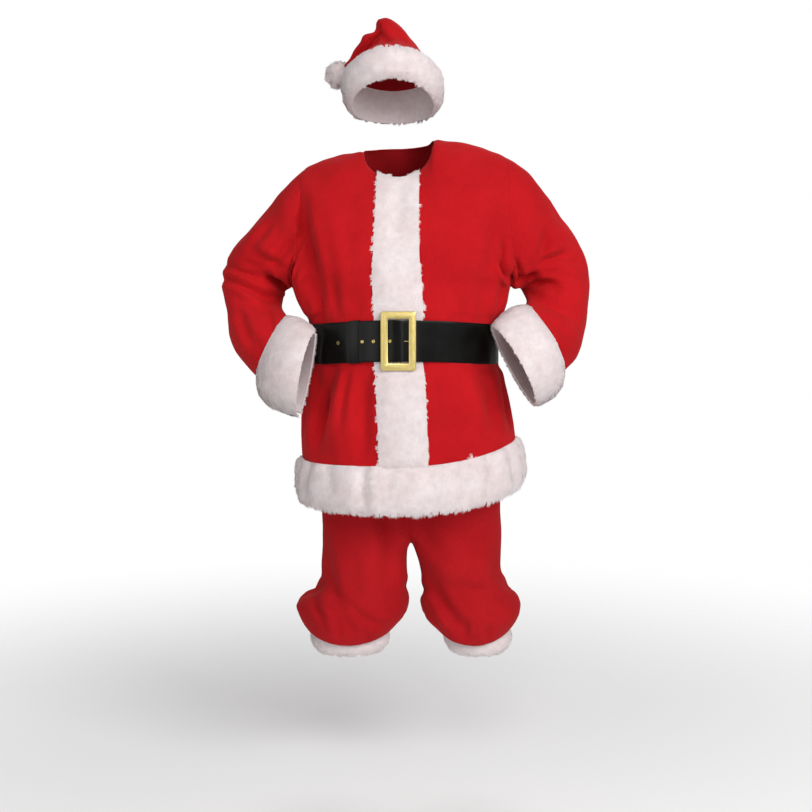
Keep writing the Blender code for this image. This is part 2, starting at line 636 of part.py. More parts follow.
class BeltLine:
    """The jacket's ring at the belt, by the distance along it from the centre front."""

    def __init__(self, sheet, level):
        points, normals = sheet.array(), sheet.normals()
        count = 4 * QUARTER

        def picked(values, name):
            row = level[name]
            return np.array([values[sheet.index[("ring", row, c % count)]] for c in range(count + 1)])

        self.bottom = picked(points, "belt_bottom")
        self.top = picked(points, "belt_top")
        self.normal = picked(normals, "belt_middle") * (1, 1, 0)
        self.normal /= np.linalg.norm(self.normal, axis=1, keepdims=True)
        steps = np.linalg.norm(np.diff(self.bottom[:, :2], axis=0), axis=1)
        self.reached = np.concatenate([[0], np.cumsum(steps)])
        self.length = self.reached[-1]

    def at(self, arc, lift):
        """The strap's lower point, upper point and normal at a distance along and off the ring."""
        arc = arc % self.length

        def read(values):
            return np.array([np.interp(arc, self.reached, values[:, k]) for k in range(3)])

        normal = read(self.normal)
        return read(self.bottom) + normal * lift, read(self.top) + normal * lift, normal

    def run(self, route):
        """The route's own places and every corner of the ring between them, in order."""
        arcs, lifts = np.array(route, float).T
        low, high = min(arcs), max(arcs)
        turns = [self.reached[:-1] + shift * self.length for shift in (-1, 0)]
        corners = [arc for arc in np.concatenate(turns) if low < arc < high]
        own = [arc for arc in arcs if np.abs(np.array(corners) - arc).min() > 3 or arc in (low, high)]
        places = sorted(set(corners + own), reverse=True)
        return [(arc, float(np.interp(-arc, -arcs, lifts))) for arc in places]


def build_belt(line):
    lower, upper, _ = line.at(0, 0)
    middle = (lower + upper) / 2
    pin = middle + (0, -PIN_LIFT, 0)
    reach = PIN_RADIUS + LIE_GAP + VINYL / 2
    fold = [(pin + (STRAP_FOLD_END, -reach, 0))]
    for turn in np.linspace(-90, 90, 9):
        turn = math.radians(turn)
        fold.append(pin + (reach * math.cos(turn), reach * math.sin(turn), 0))
    half = (upper[2] - lower[2]) / 2
    sheet = Sheet()
    places = [(point - (0, 0, half), point + (0, 0, half)) for point in fold]
    under = list(STRAP_UNDER) + [(STRAP_OVER[0][0] - line.length + 8, STRAP_CLOSE)]
    over = list(STRAP_OVER)
    for arc, lift in line.run(under):
        places.append(line.at(arc, lift)[:2])
    for arc, lift in line.run(over):
        low, high, _ = line.at(arc, lift)
        clip = max(0.0, STRAP_TIP - (arc - STRAP_OVER[-1][0])) ** 2 / STRAP_TIP
        places.append((low + (0, 0, clip), high - (0, 0, clip)))
    for i, (low, high) in enumerate(places):
        sheet.add((i, 0), low)
        sheet.add((i, 1), high)
        if i:
            sheet.quad("strap", (i - 1, 0), (i, 0), (i, 1), (i - 1, 1))
    strap = shell("belt_strap", sheet, ["strap"], -VINYL / 2, VINYL / 2, (BLACK, 0.25))
    slot = cutter_box("prong_slot", middle, (-5.4, 5.4), (4.9, 14.4), 1.7)
    cut(strap, slot)
    cut(strap, cutter_box("prong_hole", middle, (7.5, 19.5), (8.6, 19.0), 2.0))
    for i, arc in enumerate(EYELET_ARCS, 1):
        build_eyelet(strap, line, i, arc)
    build_keeper(line)
    build_buckle(middle)
    build_prong(middle)


def over_lift(arc):
    arcs, lifts = np.array(STRAP_OVER, float).T
    return float(np.interp(arc, arcs[::-1], lifts[::-1]))


def cutter_box(name, middle, across, lifts, half_height):
    """A hidden box to cut with, across the front and out from the jacket, about the belt's middle."""
    centre = middle + (sum(across) / 2, -sum(lifts) / 2, 0)
    size = np.array([across[1] - across[0], lifts[1] - lifts[0], 2 * half_height]) / 2
    signs = [(x, y, z) for x in (-1, 1) for y in (-1, 1) for z in (-1, 1)]
    points = [centre + size * sign for sign in signs]
    faces = [(0, 1, 3, 2), (4, 6, 7, 5), (0, 4, 5, 1), (2, 3, 7, 6), (0, 2, 6, 4), (1, 5, 7, 3)]
    made = new_object(name, points, faces, (BLACK, 0.5))
    made.hide_render = True
    made.display_type = "WIRE"
    return made


def cut(target, tool, operation="DIFFERENCE"):
    modifier = target.modifiers.new(tool.name, "BOOLEAN")
    modifier.operation = operation
    modifier.object = tool


def turned(name, profile, look, segments=12, closed=True):
    """A ring turned about its own Z axis from (radius, height) points, anticlockwise in the section."""
    points, faces = [], []
    count = len(profile)
    for i in range(segments):
        turn = 2 * math.pi * i / segments
        points += [(r * math.cos(turn), r * math.sin(turn), h + NECK_HEIGHT) for r, h in profile]
    for i in range(segments):
        for k in range(count if closed else count - 1):
            a, b = i * count + k, i * count + (k + 1) % count
            c, d = (b + count) % len(points), (a + count) % len(points)
            faces.append((a, d, c, b))
    if not closed:
        faces.append([i * count for i in range(segments)][::-1])
        faces.append([i * count + count - 1 for i in range(segments)])
    return new_object(name, points, faces, look)


def placed_on(normal, point):
    """The matrix that stands a turned piece's axis along a normal at a point in millimetres."""
    turn = Vector(normal).to_track_quat("Z", "Y").to_matrix().to_4x4()
    return Matrix.Translation((Vector(point) - Vector((0, 0, NECK_HEIGHT))) / 1000) @ turn


def build_eyelet(strap, line, number, arc):
    """A flanged ring through the upper strap alone, and the hole that it stands in."""
    before, centre, after = (sum(line.at(at, over_lift(at))[:2]) / 2 for at in (arc - 3, arc, arc + 3))
    matrix = placed_on(np.cross(after - before, (0, 0, 1)), centre)
    reach = VINYL / 2
    hole = turned(
        f"eyelet_hole_{number}", ((EYELET_HOLE, -reach - LIE_GAP / 2), (EYELET_HOLE, reach + 2)),
        (BLACK, 0.5), closed=False,
    )
    hole.matrix_world = matrix
    hole.hide_render = True
    hole.display_type = "WIRE"
    cut(strap, hole)
    face = reach + LIE_GAP
    barrel = EYELET_HOLE - LIE_GAP
    profile = (
        (EYELET_BORE, -reach), (barrel, -reach), (barrel, face), (EYELET_FLANGE, face),
        (EYELET_FLANGE - 0.5, face + 0.7), (EYELET_BORE + 0.6, face + 0.8), (EYELET_BORE, face + 0.3),
    )
    eyelet = turned(f"belt_eyelet_{number}", profile, (GOLD, 0.25, 1.0), segments=9)
    eyelet.matrix_world = matrix


def build_keeper(line):
    """The loop that holds both layers of the strap together."""
    under = dict(STRAP_UNDER)[-100] - VINYL / 2 - LIE_GAP
    over = over_lift(KEEPER_ARCS[0]) + VINYL / 2 + LIE_GAP
    points = []
    for arc in KEEPER_ARCS:
        for grow in (0.0, KEEPER_WALL):
            corners = []
            for lift, raised in ((under - grow, 0), (over + grow, 0), (over + grow, 1), (under - grow, 1)):
                low, high, _ = line.at(arc, lift)
                margin = (0, 0, LIE_GAP + grow)
                corners.append(high + margin if raised else low - margin)
            points += corners
    faces = []
    for k in range(4):
        n = (k + 1) % 4
        faces.append((k, 8 + k, 8 + n, n))
        faces.append((4 + n, 12 + n, 12 + k, 4 + k))
        faces.append((n, 4 + n, 4 + k, k))
        faces.append((8 + k, 12 + k, 12 + n, 8 + n))
    new_object("belt_keeper", points, faces, (BLACK, 0.25))


def chamfered(half_width, half_height, chamfer):
    """Eight corners of a rectangle with cut corners, anticlockwise from the lower right."""
    w, h, c = half_width, half_height, chamfer
    right = [(w - c, -h), (w, -h + c), (w, h - c), (w - c, h)]
    return right + [(-x, -z) for x, z in right]


def build_buckle(middle):
    """The stepped frame with the pin that the strap is folded round."""
    steps = (
        (0.0, FRAME_BACK), (0.0, FRAME_FRONT - 2.2), (1.6, FRAME_FRONT - 1.0), (3.6, FRAME_FRONT - 1.0),
        (5.0, FRAME_FRONT), (FRAME_BAR - 4.0, FRAME_FRONT), (FRAME_BAR - 2.6, FRAME_FRONT - 1.2),
        (FRAME_BAR, FRAME_FRONT - 2.0), (FRAME_BAR, FRAME_BACK),
    )
    points = []
    for inset, lift in steps:
        chamfer = FRAME_CHAMFER + (2.0 - FRAME_CHAMFER) * inset / FRAME_BAR
        for x, z in chamfered(FRAME_HALF_WIDTH - inset, FRAME_HALF_HEIGHT - inset, chamfer):
            points.append(middle + (x, -lift, z))
    count = len(steps)
    faces = []
    for k in range(count):
        n = (k + 1) % count
        for i in range(8):
            j = (i + 1) % 8
            faces.append((k * 8 + i, k * 8 + j, n * 8 + j, n * 8 + i))
    frame = new_object("belt_buckle", points, faces, (GOLD, 0.25, 1.0), sharp=20)
    window = FRAME_HALF_HEIGHT - FRAME_BAR
    for name, high in (("lug_low", -1), ("lug_high", 1)):
        at = middle + (0, 0, high * (window + 3.4))
        lug = cutter_box(name, at, (-4, 4), (PIN_LIFT - 2.2, FRAME_BACK + 1.5), 3.2)
        cut(frame, lug, "UNION")
    ends = ((PIN_RADIUS, -window - 2.0), (PIN_RADIUS, window + 2.0))
    rod = turned("buckle_pin", ends, (GOLD, 0.3, 1.0), closed=False)
    rod.matrix_world = placed_on((0, 0, 1), middle + (0, -PIN_LIFT, 0))
    rod.hide_render = True
    rod.display_type = "WIRE"
    cut(frame, rod, "UNION")


def build_prong(middle):
    """A round wire looped on the pin, that comes up through the strap and rests on the frame."""
    route = []
    for turn in np.linspace(330, 90, 11):
        turn = math.radians(turn)
        route.append((PRONG_LOOP * math.cos(turn), PIN_LIFT + PRONG_LOOP * math.sin(turn)))
    route += PRONG_ROUTE
    path = np.array([middle + (x, -lift, 0) for x, lift in route])
    sides = 6
    points, faces = [], []
    for i, centre in enumerate(path):
        run = path[min(i + 1, len(path) - 1)] - path[max(i - 1, 0)]
        run /= np.linalg.norm(run)
        across = np.cross(run, (0, 0, 1))
        for k in range(sides):
            turn = 2 * math.pi * k / sides
            out = across * math.cos(turn) + np.array([0, 0, math.sin(turn)])
            points.append(centre + PRONG_RADIUS * out)
    last = len(path) - 1
    for i in range(last):
        for k in range(sides):
            n = (k + 1) % sides
            faces.append((i * sides + k, (i + 1) * sides + k, (i + 1) * sides + n, i * sides + n))
    faces.append(list(range(sides)))
    faces.append([last * sides + k for k in range(sides)][::-1])
    new_object("belt_prong", points, faces, (GOLD, 0.25, 1.0))


# ---- the trousers ---------------------------------------------------------------------------------

def hip_row(row, side):
    """Half of a trouser row, from the centre front round the side to the centre back."""
    side_x = row["left_x"] if side > 0 else row["right_x"]
    halves = []
    for middle_y in (row["front_y"], row["back_y"]):
        ahead = row["thigh"] if middle_y < row["side_y"] else row["thigh"] / 2
        start = np.array([row["mid_x"], middle_y, row["z"]], float)
        end = np.array([side_x, row["side_y"], row["z"]], float)
        lead = math.copysign(ahead, middle_y - row["side_y"])
        deep = middle_y - row["side_y"] + lead
        handle = start + (0.5 * (side_x - row["mid_x"]), lead, 0)
        curve = bezier(start, handle, end + (0, 0.6 * deep, 0), end)
        halves.append(along(curve, np.linspace(0, length_of(curve), 6)))
    return np.concatenate([halves[0], halves[1][-2::-1]])


def leg_ring(row, side):
    """A leg ring: ten spans outside, from the front seam to the back seam, and eight round the inseam."""
    turns = list(np.linspace(110, -110, 11)) + list(np.linspace(-110, -250, INSEAM_COLUMNS + 1)[1:-1])
    centre_x, half_x = (row["inner_x"] + row["outer_x"]) / 2, (row["outer_x"] - row["inner_x"]) / 2
    centre_y, half_y = (row["front_y"] + row["back_y"]) / 2, (row["back_y"] - row["front_y"]) / 2
    ring = []
    for turn in np.radians(turns):
        out, ahead = math.cos(turn), math.sin(turn)
        reach = 1 / (abs(out) ** 2.3 + abs(ahead) ** 2.3) ** (1 / 2.3)
        ring.append((
            side * (centre_x + half_x * out * reach), centre_y - half_y * ahead * reach,
            row["z"] + row["rise"] * out**2,
        ))
    return ring


def trouser_sheet(jacket, level):
    sheet = Sheet()
    points, normals = jacket.array(), jacket.normals()
    inside = CLOTH + 2 * LIE_GAP
    spans = len(TROUSER_PICKS) - 1
    hips = records(TROUSER_COLUMNS, TROUSER_ROWS)

    def hip_key(side, r, t):
        return ("hip", 0 if t in (0, spans) else side, r, t)

    for side in (1, -1):
        for t, pick in enumerate(TROUSER_PICKS):
            at = jacket.index[("ring", level["belt_bottom"], (side * pick) % (4 * QUARTER))]
            flat = normals[at] * (1, 1, 0)
            point = points[at] - flat / np.linalg.norm(flat) * inside - (0, 0, 4 * LIE_GAP)
            sheet.add(hip_key(side, 0, t), point)
        for r, row in enumerate(hips, 1):
            for t, point in enumerate(hip_row(row, side)):
                sheet.add(hip_key(side, r, t), point)
    last = len(hips)
    low = hips[-1]
    for i in range(1, INSEAM_COLUMNS):
        turn = math.pi * i / INSEAM_COLUMNS
        middle_y, half_y = (low["front_y"] + low["back_y"]) / 2, (low["back_y"] - low["front_y"]) / 2
        drop = (low["z"] - CROTCH_Z) * math.sin(turn)
        sheet.add(("crotch", i), (low["mid_x"], middle_y + half_y * math.cos(turn), low["z"] - drop))
    around = spans + INSEAM_COLUMNS
    for side, table in ((1, LEG_LEFT), (-1, LEG_RIGHT)):
        hand = "left" if side > 0 else "right"
        rings = records(LEG_COLUMNS, table)
        for r, row in enumerate(rings, 1):
            for c, point in enumerate(leg_ring(row, side)):
                sheet.add(("leg", side, r, c), point)

        def leg_key(r, c, side=side):
            c %= around
            if r:
                return ("leg", side, r, c)
            return hip_key(side, last, c) if c <= spans else ("crotch", c - spans)

        half = spans // 2
        for r in range(last):
            for t in range(spans):
                corners = [
                    hip_key(side, r, t), hip_key(side, r, t + 1),
                    hip_key(side, r + 1, t + 1), hip_key(side, r + 1, t),
                ]
                piece = f"trouser_{'front' if t < half else 'back'}_{hand}"
                sheet.quad(piece, *(corners[::-1] if side > 0 else corners))
        for r in range(len(rings)):
            for c in range(around):
                corners = [leg_key(r, c), leg_key(r, c + 1), leg_key(r + 1, c + 1), leg_key(r + 1, c)]
                ahead = c < half or c >= spans + INSEAM_COLUMNS // 2
                piece = f"trouser_{'front' if ahead else 'back'}_{hand}"
                if r >= len(rings) - LEG_FUR_ROWS:
                    piece = f"leg_fur_{hand}"
                sheet.quad(piece, *(corners[::-1] if side > 0 else corners))
    return sheet


def build_trousers(sheet):
    first = len(LEG_LEFT) - LEG_FUR_ROWS

    def leg_pile(key):
        return LEG_PILE[key[2] - first] if key[0] == "leg" and key[2] >= first else None

    for hand in ("right", "left"):
        for part in ("front", "back"):
            shell(f"trouser_{part}_{hand}", sheet, [f"trouser_{part}_{hand}"], -CLOTH, 0, (DARK_RED, 0.85))
        shell(f"leg_fur_{hand}", sheet, [f"leg_fur_{hand}"], -CLOTH, offsets(sheet, leg_pile), (FUR, 0.95))


# ---- the hat --------------------------------------------------------------------------------------

def build_hat():
    sheet = Sheet()
    rows = smooth_rows(HAT_COLUMNS, HAT_ROWS)
    for r, row in enumerate(rows):
        turned_by = Matrix.Rotation(math.radians(row["roll"]), 3, "Y")
        turned_by = turned_by @ Matrix.Rotation(-math.radians(row["pitch"]), 3, "X")
        for c in range(HAT_COLUMN_COUNT):
            turn = 2 * math.pi * c / HAT_COLUMN_COUNT
            across, ahead = row["half_x"] * math.sin(turn), row["half_y"] * math.cos(turn)
            own = Vector((across, -ahead, row["arch"] * math.cos(2 * turn)))
            sheet.add((r, c), np.array(turned_by @ own) + (row["x"], row["y"], row["z"]))
    seam = next(r for r, row in enumerate(rows) if row["name"] == "band_seam")
    for r in range(len(rows) - 1):
        for c in range(HAT_COLUMN_COUNT):
            n = (c + 1) % HAT_COLUMN_COUNT
            sheet.quad("band" if r < seam else "crown", (r, c), (r, n), (r + 1, n), (r + 1, c))
    shell("hat_crown", sheet, ["crown"], -CLOTH, 0, (RED, 0.85))
    pile = offsets(sheet, lambda key: HAT_PILE[key[0]] if key[0] <= seam else None)
    shell("hat_band_fur", sheet, ["band"], -CLOTH, pile, (FUR, 0.95))


def build_pompom():
    """A ball of short locks on a small core, bare where the hat's tail is sewn to it."""
    ball = bmesh.new()
    bmesh.ops.create_icosphere(ball, subdivisions=2, radius=POMPOM_CORE)
    tail = Vector(POMPOM_TAIL).normalized()
    for number, face in enumerate(list(ball.faces)):
        out = face.calc_center_median().normalized()
        if out.dot(tail) > 0.80:
            continue
        reach = (POMPOM_REACH - POMPOM_CORE) * (0.86 + 0.14 * math.sin(2.4 * number))
        lean = Vector((math.sin(1.7 * number), math.cos(2.3 * number), math.sin(3.1 * number))) * 2.0
        bmesh.ops.inset_individual(ball, faces=[face], thickness=0.9)
        for share, shrink in ((0.6, 0.86), (0.4, 0.25)):
            face = bmesh.ops.extrude_discrete_faces(ball, faces=[face])["faces"][0]
            middle = face.calc_center_median()
            for vert in face.verts:
                vert.co = middle + (vert.co - middle) * shrink + out * reach * share + lean * share
    bmesh.ops.recalc_face_normals(ball, faces=ball.faces)
    points = [np.array(vert.co) + POMPOM_CENTRE for vert in ball.verts]
    faces = [[vert.index for vert in face.verts] for face in ball.faces]
    ball.free()
    new_object("hat_pompom", points, faces, (FUR, 0.95), sharp=80)


def main():
    for old in list(bpy.data.objects):
        bpy.data.objects.remove(old, do_unlink=True)
    jacket, level = jacket_sheet()
    belted = range(level["belt_bottom"], level["belt_top"] + 1)
    fold(jacket, JACKET_FOLDS, {key for key in jacket.index if key[0] == "ring" and key[1] in belted})
    build_jacket(jacket, level)
    build_belt(BeltLine(jacket, level))
    trousers = trouser_sheet(jacket, level)
    fold(trousers, TROUSER_FOLDS)
    build_trousers(trousers)
    build_hat()
    build_pompom()


main()
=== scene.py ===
import math

import bmesh
import bpy
import numpy as np
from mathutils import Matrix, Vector, noise
from mathutils.bvhtree import BVHTree
from mathutils.kdtree import KDTree


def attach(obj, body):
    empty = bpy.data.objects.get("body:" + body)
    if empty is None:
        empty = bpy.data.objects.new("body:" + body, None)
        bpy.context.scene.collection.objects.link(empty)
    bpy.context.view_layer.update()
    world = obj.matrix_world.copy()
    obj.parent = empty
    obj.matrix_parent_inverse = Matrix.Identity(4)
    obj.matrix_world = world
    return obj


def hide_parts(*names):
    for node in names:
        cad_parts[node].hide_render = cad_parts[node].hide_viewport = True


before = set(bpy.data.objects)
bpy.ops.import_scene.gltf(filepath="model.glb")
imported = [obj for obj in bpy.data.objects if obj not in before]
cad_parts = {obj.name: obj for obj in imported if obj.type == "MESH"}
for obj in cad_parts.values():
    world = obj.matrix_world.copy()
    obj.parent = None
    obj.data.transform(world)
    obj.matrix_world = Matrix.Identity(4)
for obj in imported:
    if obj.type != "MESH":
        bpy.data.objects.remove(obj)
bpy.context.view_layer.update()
print("frame loaded")

floorZ = -1.56          # the origin is the base of the neck, 1.56 m up
wall = 0.002            # plush with its knitted back
seamGap = 0.0003
fitPasses, fitShare = 4, 0.9    # how often, and how far each time, a cage is pushed out to fit


def linear(hexColour):
    channels = [int(hexColour[i:i + 2], 16) / 255 for i in (1, 3, 5)]
    return tuple(c / 12.92 if c <= 0.04045 else ((c + 0.055) / 1.055) ** 2.4 for c in channels) + (1.0,)


# A link comes from an output, or from a node that stands for its first output.
def addNode(tree, kind, settings, **links):
    node = tree.nodes.new("ShaderNode" + kind)
    for key, value in settings.items():
        if key == "stops":
            for spot, (place, colour) in zip(node.color_ramp.elements, value):
                spot.position = place
                spot.color = linear(colour) if isinstance(colour, str) else colour
        elif isinstance(key, int) or key in node.inputs:
            node.inputs[key].default_value = value
        else:
            setattr(node, key, value)
    for socket, source in links.items():
        name = socket.replace("_", " ")
        source = source.outputs[0] if isinstance(source, bpy.types.Node) else source
        tree.links.new(source, node.inputs[int(name[1:]) if name[1:].isdigit() else name])
    return node


multiplied = {"data_type": "RGBA", "blend_type": "MULTIPLY", 0: 1.0}


# a new material, its node tree and the place on the object
def newMaterial(name):
    made = bpy.data.materials.new(name)
    made.use_nodes = True
    tree = made.node_tree
    tree.nodes.clear()
    return made, tree, addNode(tree, "TexCoord", {}).outputs["Object"]


def unit(vectors):
    return vectors / np.maximum(np.linalg.norm(vectors, axis=-1, keepdims=True), 1e-12)


def meshFrom(made, name):
    mesh = bpy.data.meshes.new(name)
    made.to_mesh(mesh)
    made.free()
    return mesh


def addObject(name, data):
    made = bpy.data.objects.new(name, data)
    bpy.context.scene.collection.objects.link(made)
    return made


# Brushed polyester plush: a short dense pile with no gloss, paler where it is seen at a slant,
# in patches a hand wide where the pile leans another way.
def plush(name, look):
    made, tree, place = newMaterial(name)
    patches = addNode(tree, "TexNoise", {"Scale": 1 / look["patch"], "Detail": 3.0}, Vector=place)
    grain = addNode(tree, "TexNoise", {"Scale": 1 / look["grain"], "Detail": 4.0, "Roughness": 0.7},
                    Vector=place)
    tuft = 1 / look["tuft"]
    brushed = addNode(tree, "Mapping", {"Scale": (tuft, tuft, 0.5 * tuft)}, Vector=place)
    tufts = addNode(tree, "TexNoise", {"Scale": 1.0, "Detail": 2.0}, Vector=brushed)
    lean = addNode(tree, "ValToRGB", {"stops": ((0.36, look["deep"]), (0.66, look["bright"]))}, Fac=patches)
    specks = addNode(tree, "ValToRGB",
                     {"stops": ((0.3, (0.93, 0.92, 0.92, 1)), (0.7, "#FFFFFF"))}, Fac=tufts)
    colour = addNode(tree, "Mix", multiplied, _6=lean, _7=specks)
    height = addNode(tree, "Math", {"operation": "ADD"}, _0=grain, _1=tufts)
    bump = addNode(tree, "Bump", {"Strength": 0.5, "Distance": look["pile"]}, Height=height)
    shader = addNode(tree, "BsdfPrincipled",
                     {"Roughness": 0.92, "Specular IOR Level": 0.12, "Sheen Weight": look["sheen"],
                      "Sheen Roughness": 0.5, "Sheen Tint": linear(look["bloom"])},
                     Base_Color=colour.outputs[2], Normal=bump)
    addNode(tree, "OutputMaterial", {}, Surface=shader)
    return made


# The knitted back of the plush, seen down the neck and the sleeves: flat ribs, drawn coarser than
# knitting so that they show.
def knitBack(name, colours):
    made, tree, place = newMaterial(name)
    ribs = addNode(tree, "TexWave", {"Scale": 1 / 0.012, "Distortion": 1.5, "Detail": 1.0}, Vector=place)
    tint = addNode(tree, "ValToRGB",
                   {"stops": ((0.2, colours[0]), (0.8, colours[1]))}, Fac=ribs.outputs["Fac"])
    bump = addNode(tree, "Bump", {"Strength": 0.3, "Distance": 0.0004}, Height=ribs.outputs["Fac"])
    shader = addNode(tree, "BsdfPrincipled", {"Roughness": 0.95, "Specular IOR Level": 0.1},
                     Base_Color=tint, Normal=bump)
    addNode(tree, "OutputMaterial", {}, Surface=shader)
    return made


# Acrylic faux fur: soft matt white with a trace of rose, and painted shade: greyer between the locks, where
# the bump is low.
def fauxFur(name, look):
    made, tree, place = newMaterial(name)
    locks = addNode(tree, "TexNoise", {"Scale": 1 / look["lock"], "Detail": 4.0, "Roughness": 0.65},
                    Vector=place)
    patches = addNode(tree, "TexNoise", {"Scale": 1 / 0.07, "Detail": 2.0}, Vector=place)
    # the darker end of this ramp is painted shade in the hollows between the locks
    shade = addNode(tree, "ValToRGB", {"stops": ((0.3, look["between"]), (0.62, look["tips"]))}, Fac=locks)
    warm = addNode(tree, "ValToRGB", {"stops": ((0.35, "#FAF6F5"), (0.65, "#FFFFFF"))}, Fac=patches)
    colour = addNode(tree, "Mix", multiplied, _6=shade, _7=warm)
    bump = addNode(tree, "Bump", {"Strength": look["rough"], "Distance": 0.002}, Height=locks)
    shader = addNode(tree, "BsdfPrincipled",
                     {"Roughness": 0.85, "Specular IOR Level": 0.2, "Sheen Weight": 0.45,
                      "Sheen Roughness": 0.6}, Base_Color=colour.outputs[2], Normal=bump)
    addNode(tree, "OutputMaterial", {}, Surface=shader)
    return made


# Black PVC vinyl with an embossed leather grain: a soft gloss that breaks up over the grain and dulls
# where the strap has been handled. The grain is drawn at 2.5 mm, coarser than on a real strap, so
# that it shows.
def vinyl(name, look):
    made, tree, place = newMaterial(name)
    grain = addNode(tree, "TexVoronoi", {"Scale": 1 / look["grain"], "feature": "SMOOTH_F1"}, Vector=place)
    handled = addNode(tree, "TexNoise", {"Scale": 1 / 0.05, "Detail": 5.0}, Vector=place)
    colour = addNode(tree, "ValToRGB", {"stops": ((0.35, look["deep"]), (0.7, look["worn"]))}, Fac=handled)
    gloss = addNode(tree, "MapRange", {"To Min": look["gloss"][0], "To Max": look["gloss"][1]},
                    Value=handled)
    bump = addNode(tree, "Bump", {"Strength": 0.25, "Distance": 0.0004}, Height=grain)
    shader = addNode(tree, "BsdfPrincipled", {"Specular IOR Level": 0.16, "IOR": 1.52},
                     Base_Color=colour, Roughness=gloss, Normal=bump)
    addNode(tree, "OutputMaterial", {}, Surface=shader)
    return made


# Die-cast zinc plated pale brass: satin, with a fine cast ripple and darker, rougher low places.
def platedBrass(name, look):
    made, tree, place = newMaterial(name)
    ripple = addNode(tree, "TexNoise", {"Scale": 1 / 0.012, "Detail": 2.0}, Vector=place)
    colour = addNode(tree, "ValToRGB", {"stops": ((0.3, look["dull"]), (0.6, look["bright"]))}, Fac=ripple)
    satin = addNode(tree, "MapRange", {"To Min": 0.48, "To Max": 0.38}, Value=ripple)
    bump = addNode(tree, "Bump", {"Strength": 0.1, "Distance": 0.0003}, Height=ripple)
    shader = addNode(tree, "BsdfPrincipled", {"Metallic": 1.0},
                     Base_Color=colour, Roughness=satin, Normal=bump)
    addNode(tree, "OutputMaterial", {}, Surface=shader)
    return made


plushCloth = {"patch": 0.12, "grain": 0.0022, "tuft": 0.006, "pile": 0.0008}
redPlush = plush("polyester_plush_red", plushCloth | {
    "deep": "#B31118", "bright": "#BE151C", "bloom": "#F0605C", "sheen": 0.25})
trouserPlush = plush("polyester_plush_deep_red", plushCloth | {
    "deep": "#A21118", "bright": "#AC151C", "bloom": "#E05854", "sheen": 0.22})
redBack = knitBack("knitted_back_red", ("#8E1016", "#A0141A"))
trouserBack = knitBack("knitted_back_deep_red", ("#7C0E14", "#901218"))
# the first colour of each fur is its painted shade between the locks
whiteFur = fauxFur("acrylic_fur_base", {"between": "#D3C8C9", "tips": "#DFD5D6", "lock": 0.012, "rough": 0.3})
furPile = fauxFur("acrylic_fur_pile", {"between": "#D2C8C9", "tips": "#E1D8D9", "lock": 0.02, "rough": 0.1})
blackVinyl = vinyl("pvc_vinyl_black", {
    "deep": "#080908", "worn": "#10110F", "grain": 0.0025, "gloss": (0.24, 0.36)})
brass = platedBrass("plated_brass_pale", {"dull": "#E6CF7C", "bright": "#EED98E"})
print("materials made")


class Cloth:
    def __init__(self, points, quads, tags):
        self.points, self.quads, self.tags = points, quads, tags
        self.update()

    def update(self):
        corners = self.points[self.quads]
        across = np.cross(corners[:, 2] - corners[:, 0], corners[:, 3] - corners[:, 1])
        self.normals = np.zeros_like(self.points)
        for k in range(4):
            np.add.at(self.normals, self.quads[:, k], across)
        self.normals = unit(self.normals)
        self.areas = np.linalg.norm(across, axis=1) / 2


# One side of a CAD wall: its rim faces, which are as high as the wall, are dropped, and of the two
# sides that are left the outer or the inner one is kept. Where the wall is as thick as its rows are
# high, the rim is given as the angle that parts it from the sides.
def addSide(made, tagLayer, nodeName, tag, rim, outward, outer=True):
    whole = bmesh.new()
    whole.from_mesh(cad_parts[nodeName].data)
    bmesh.ops.remove_doubles(whole, verts=whole.verts, dist=2e-5)
    low = [face for face in whole.faces if min(edge.calc_length() for edge in face.edges) < rim < 1]
    bmesh.ops.delete(whole, geom=low, context="FACES")
    parting = math.radians(rim if rim > 1 else 180)
    left, sides = set(whole.faces), []
    while left:
        queue, side = [left.pop()], []
        while queue:
            face = queue.pop()
            side.append(face)
            for edge in face.edges:
                for other in edge.link_faces:
                    if other in left and edge.calc_face_angle(0) <= parting:
                        left.discard(other)
                        queue.append(other)
        sides.append(side)
    sides = sorted(sides, key=len)[-2:]
    both = sides[0] + sides[1]
    middle = sum((face.calc_center_median() for face in both), Vector()) / len(both)

    def facesOut(side):
        if outward:
            return sum(face.normal.dot(Vector(outward)) * face.calc_area() for face in side)
        return sum((face.calc_center_median() - middle).dot(face.normal) * face.calc_area() for face in side)

    sides.sort(key=facesOut)
    kept = sides[1] if outer else sides[0]
    bmesh.ops.delete(whole, geom=list(set(whole.faces) - set(kept)), context="FACES")
    if not outer:
        bmesh.ops.reverse_faces(whole, faces=kept)
    bmesh.ops.join_triangles(whole, faces=whole.faces,
                             angle_face_threshold=math.pi, angle_shape_threshold=math.pi)
    single = sum(len(face.verts) == 3 for face in whole.faces)
    if single:
        print("  ", nodeName, "keeps", single, "triangles")
    placed = {vert: made.verts.new(vert.co) for vert in whole.verts if vert.link_faces}
    for face in whole.faces:
        made.faces.new([placed[vert] for vert in face.verts])[tagLayer] = tag
    whole.free()


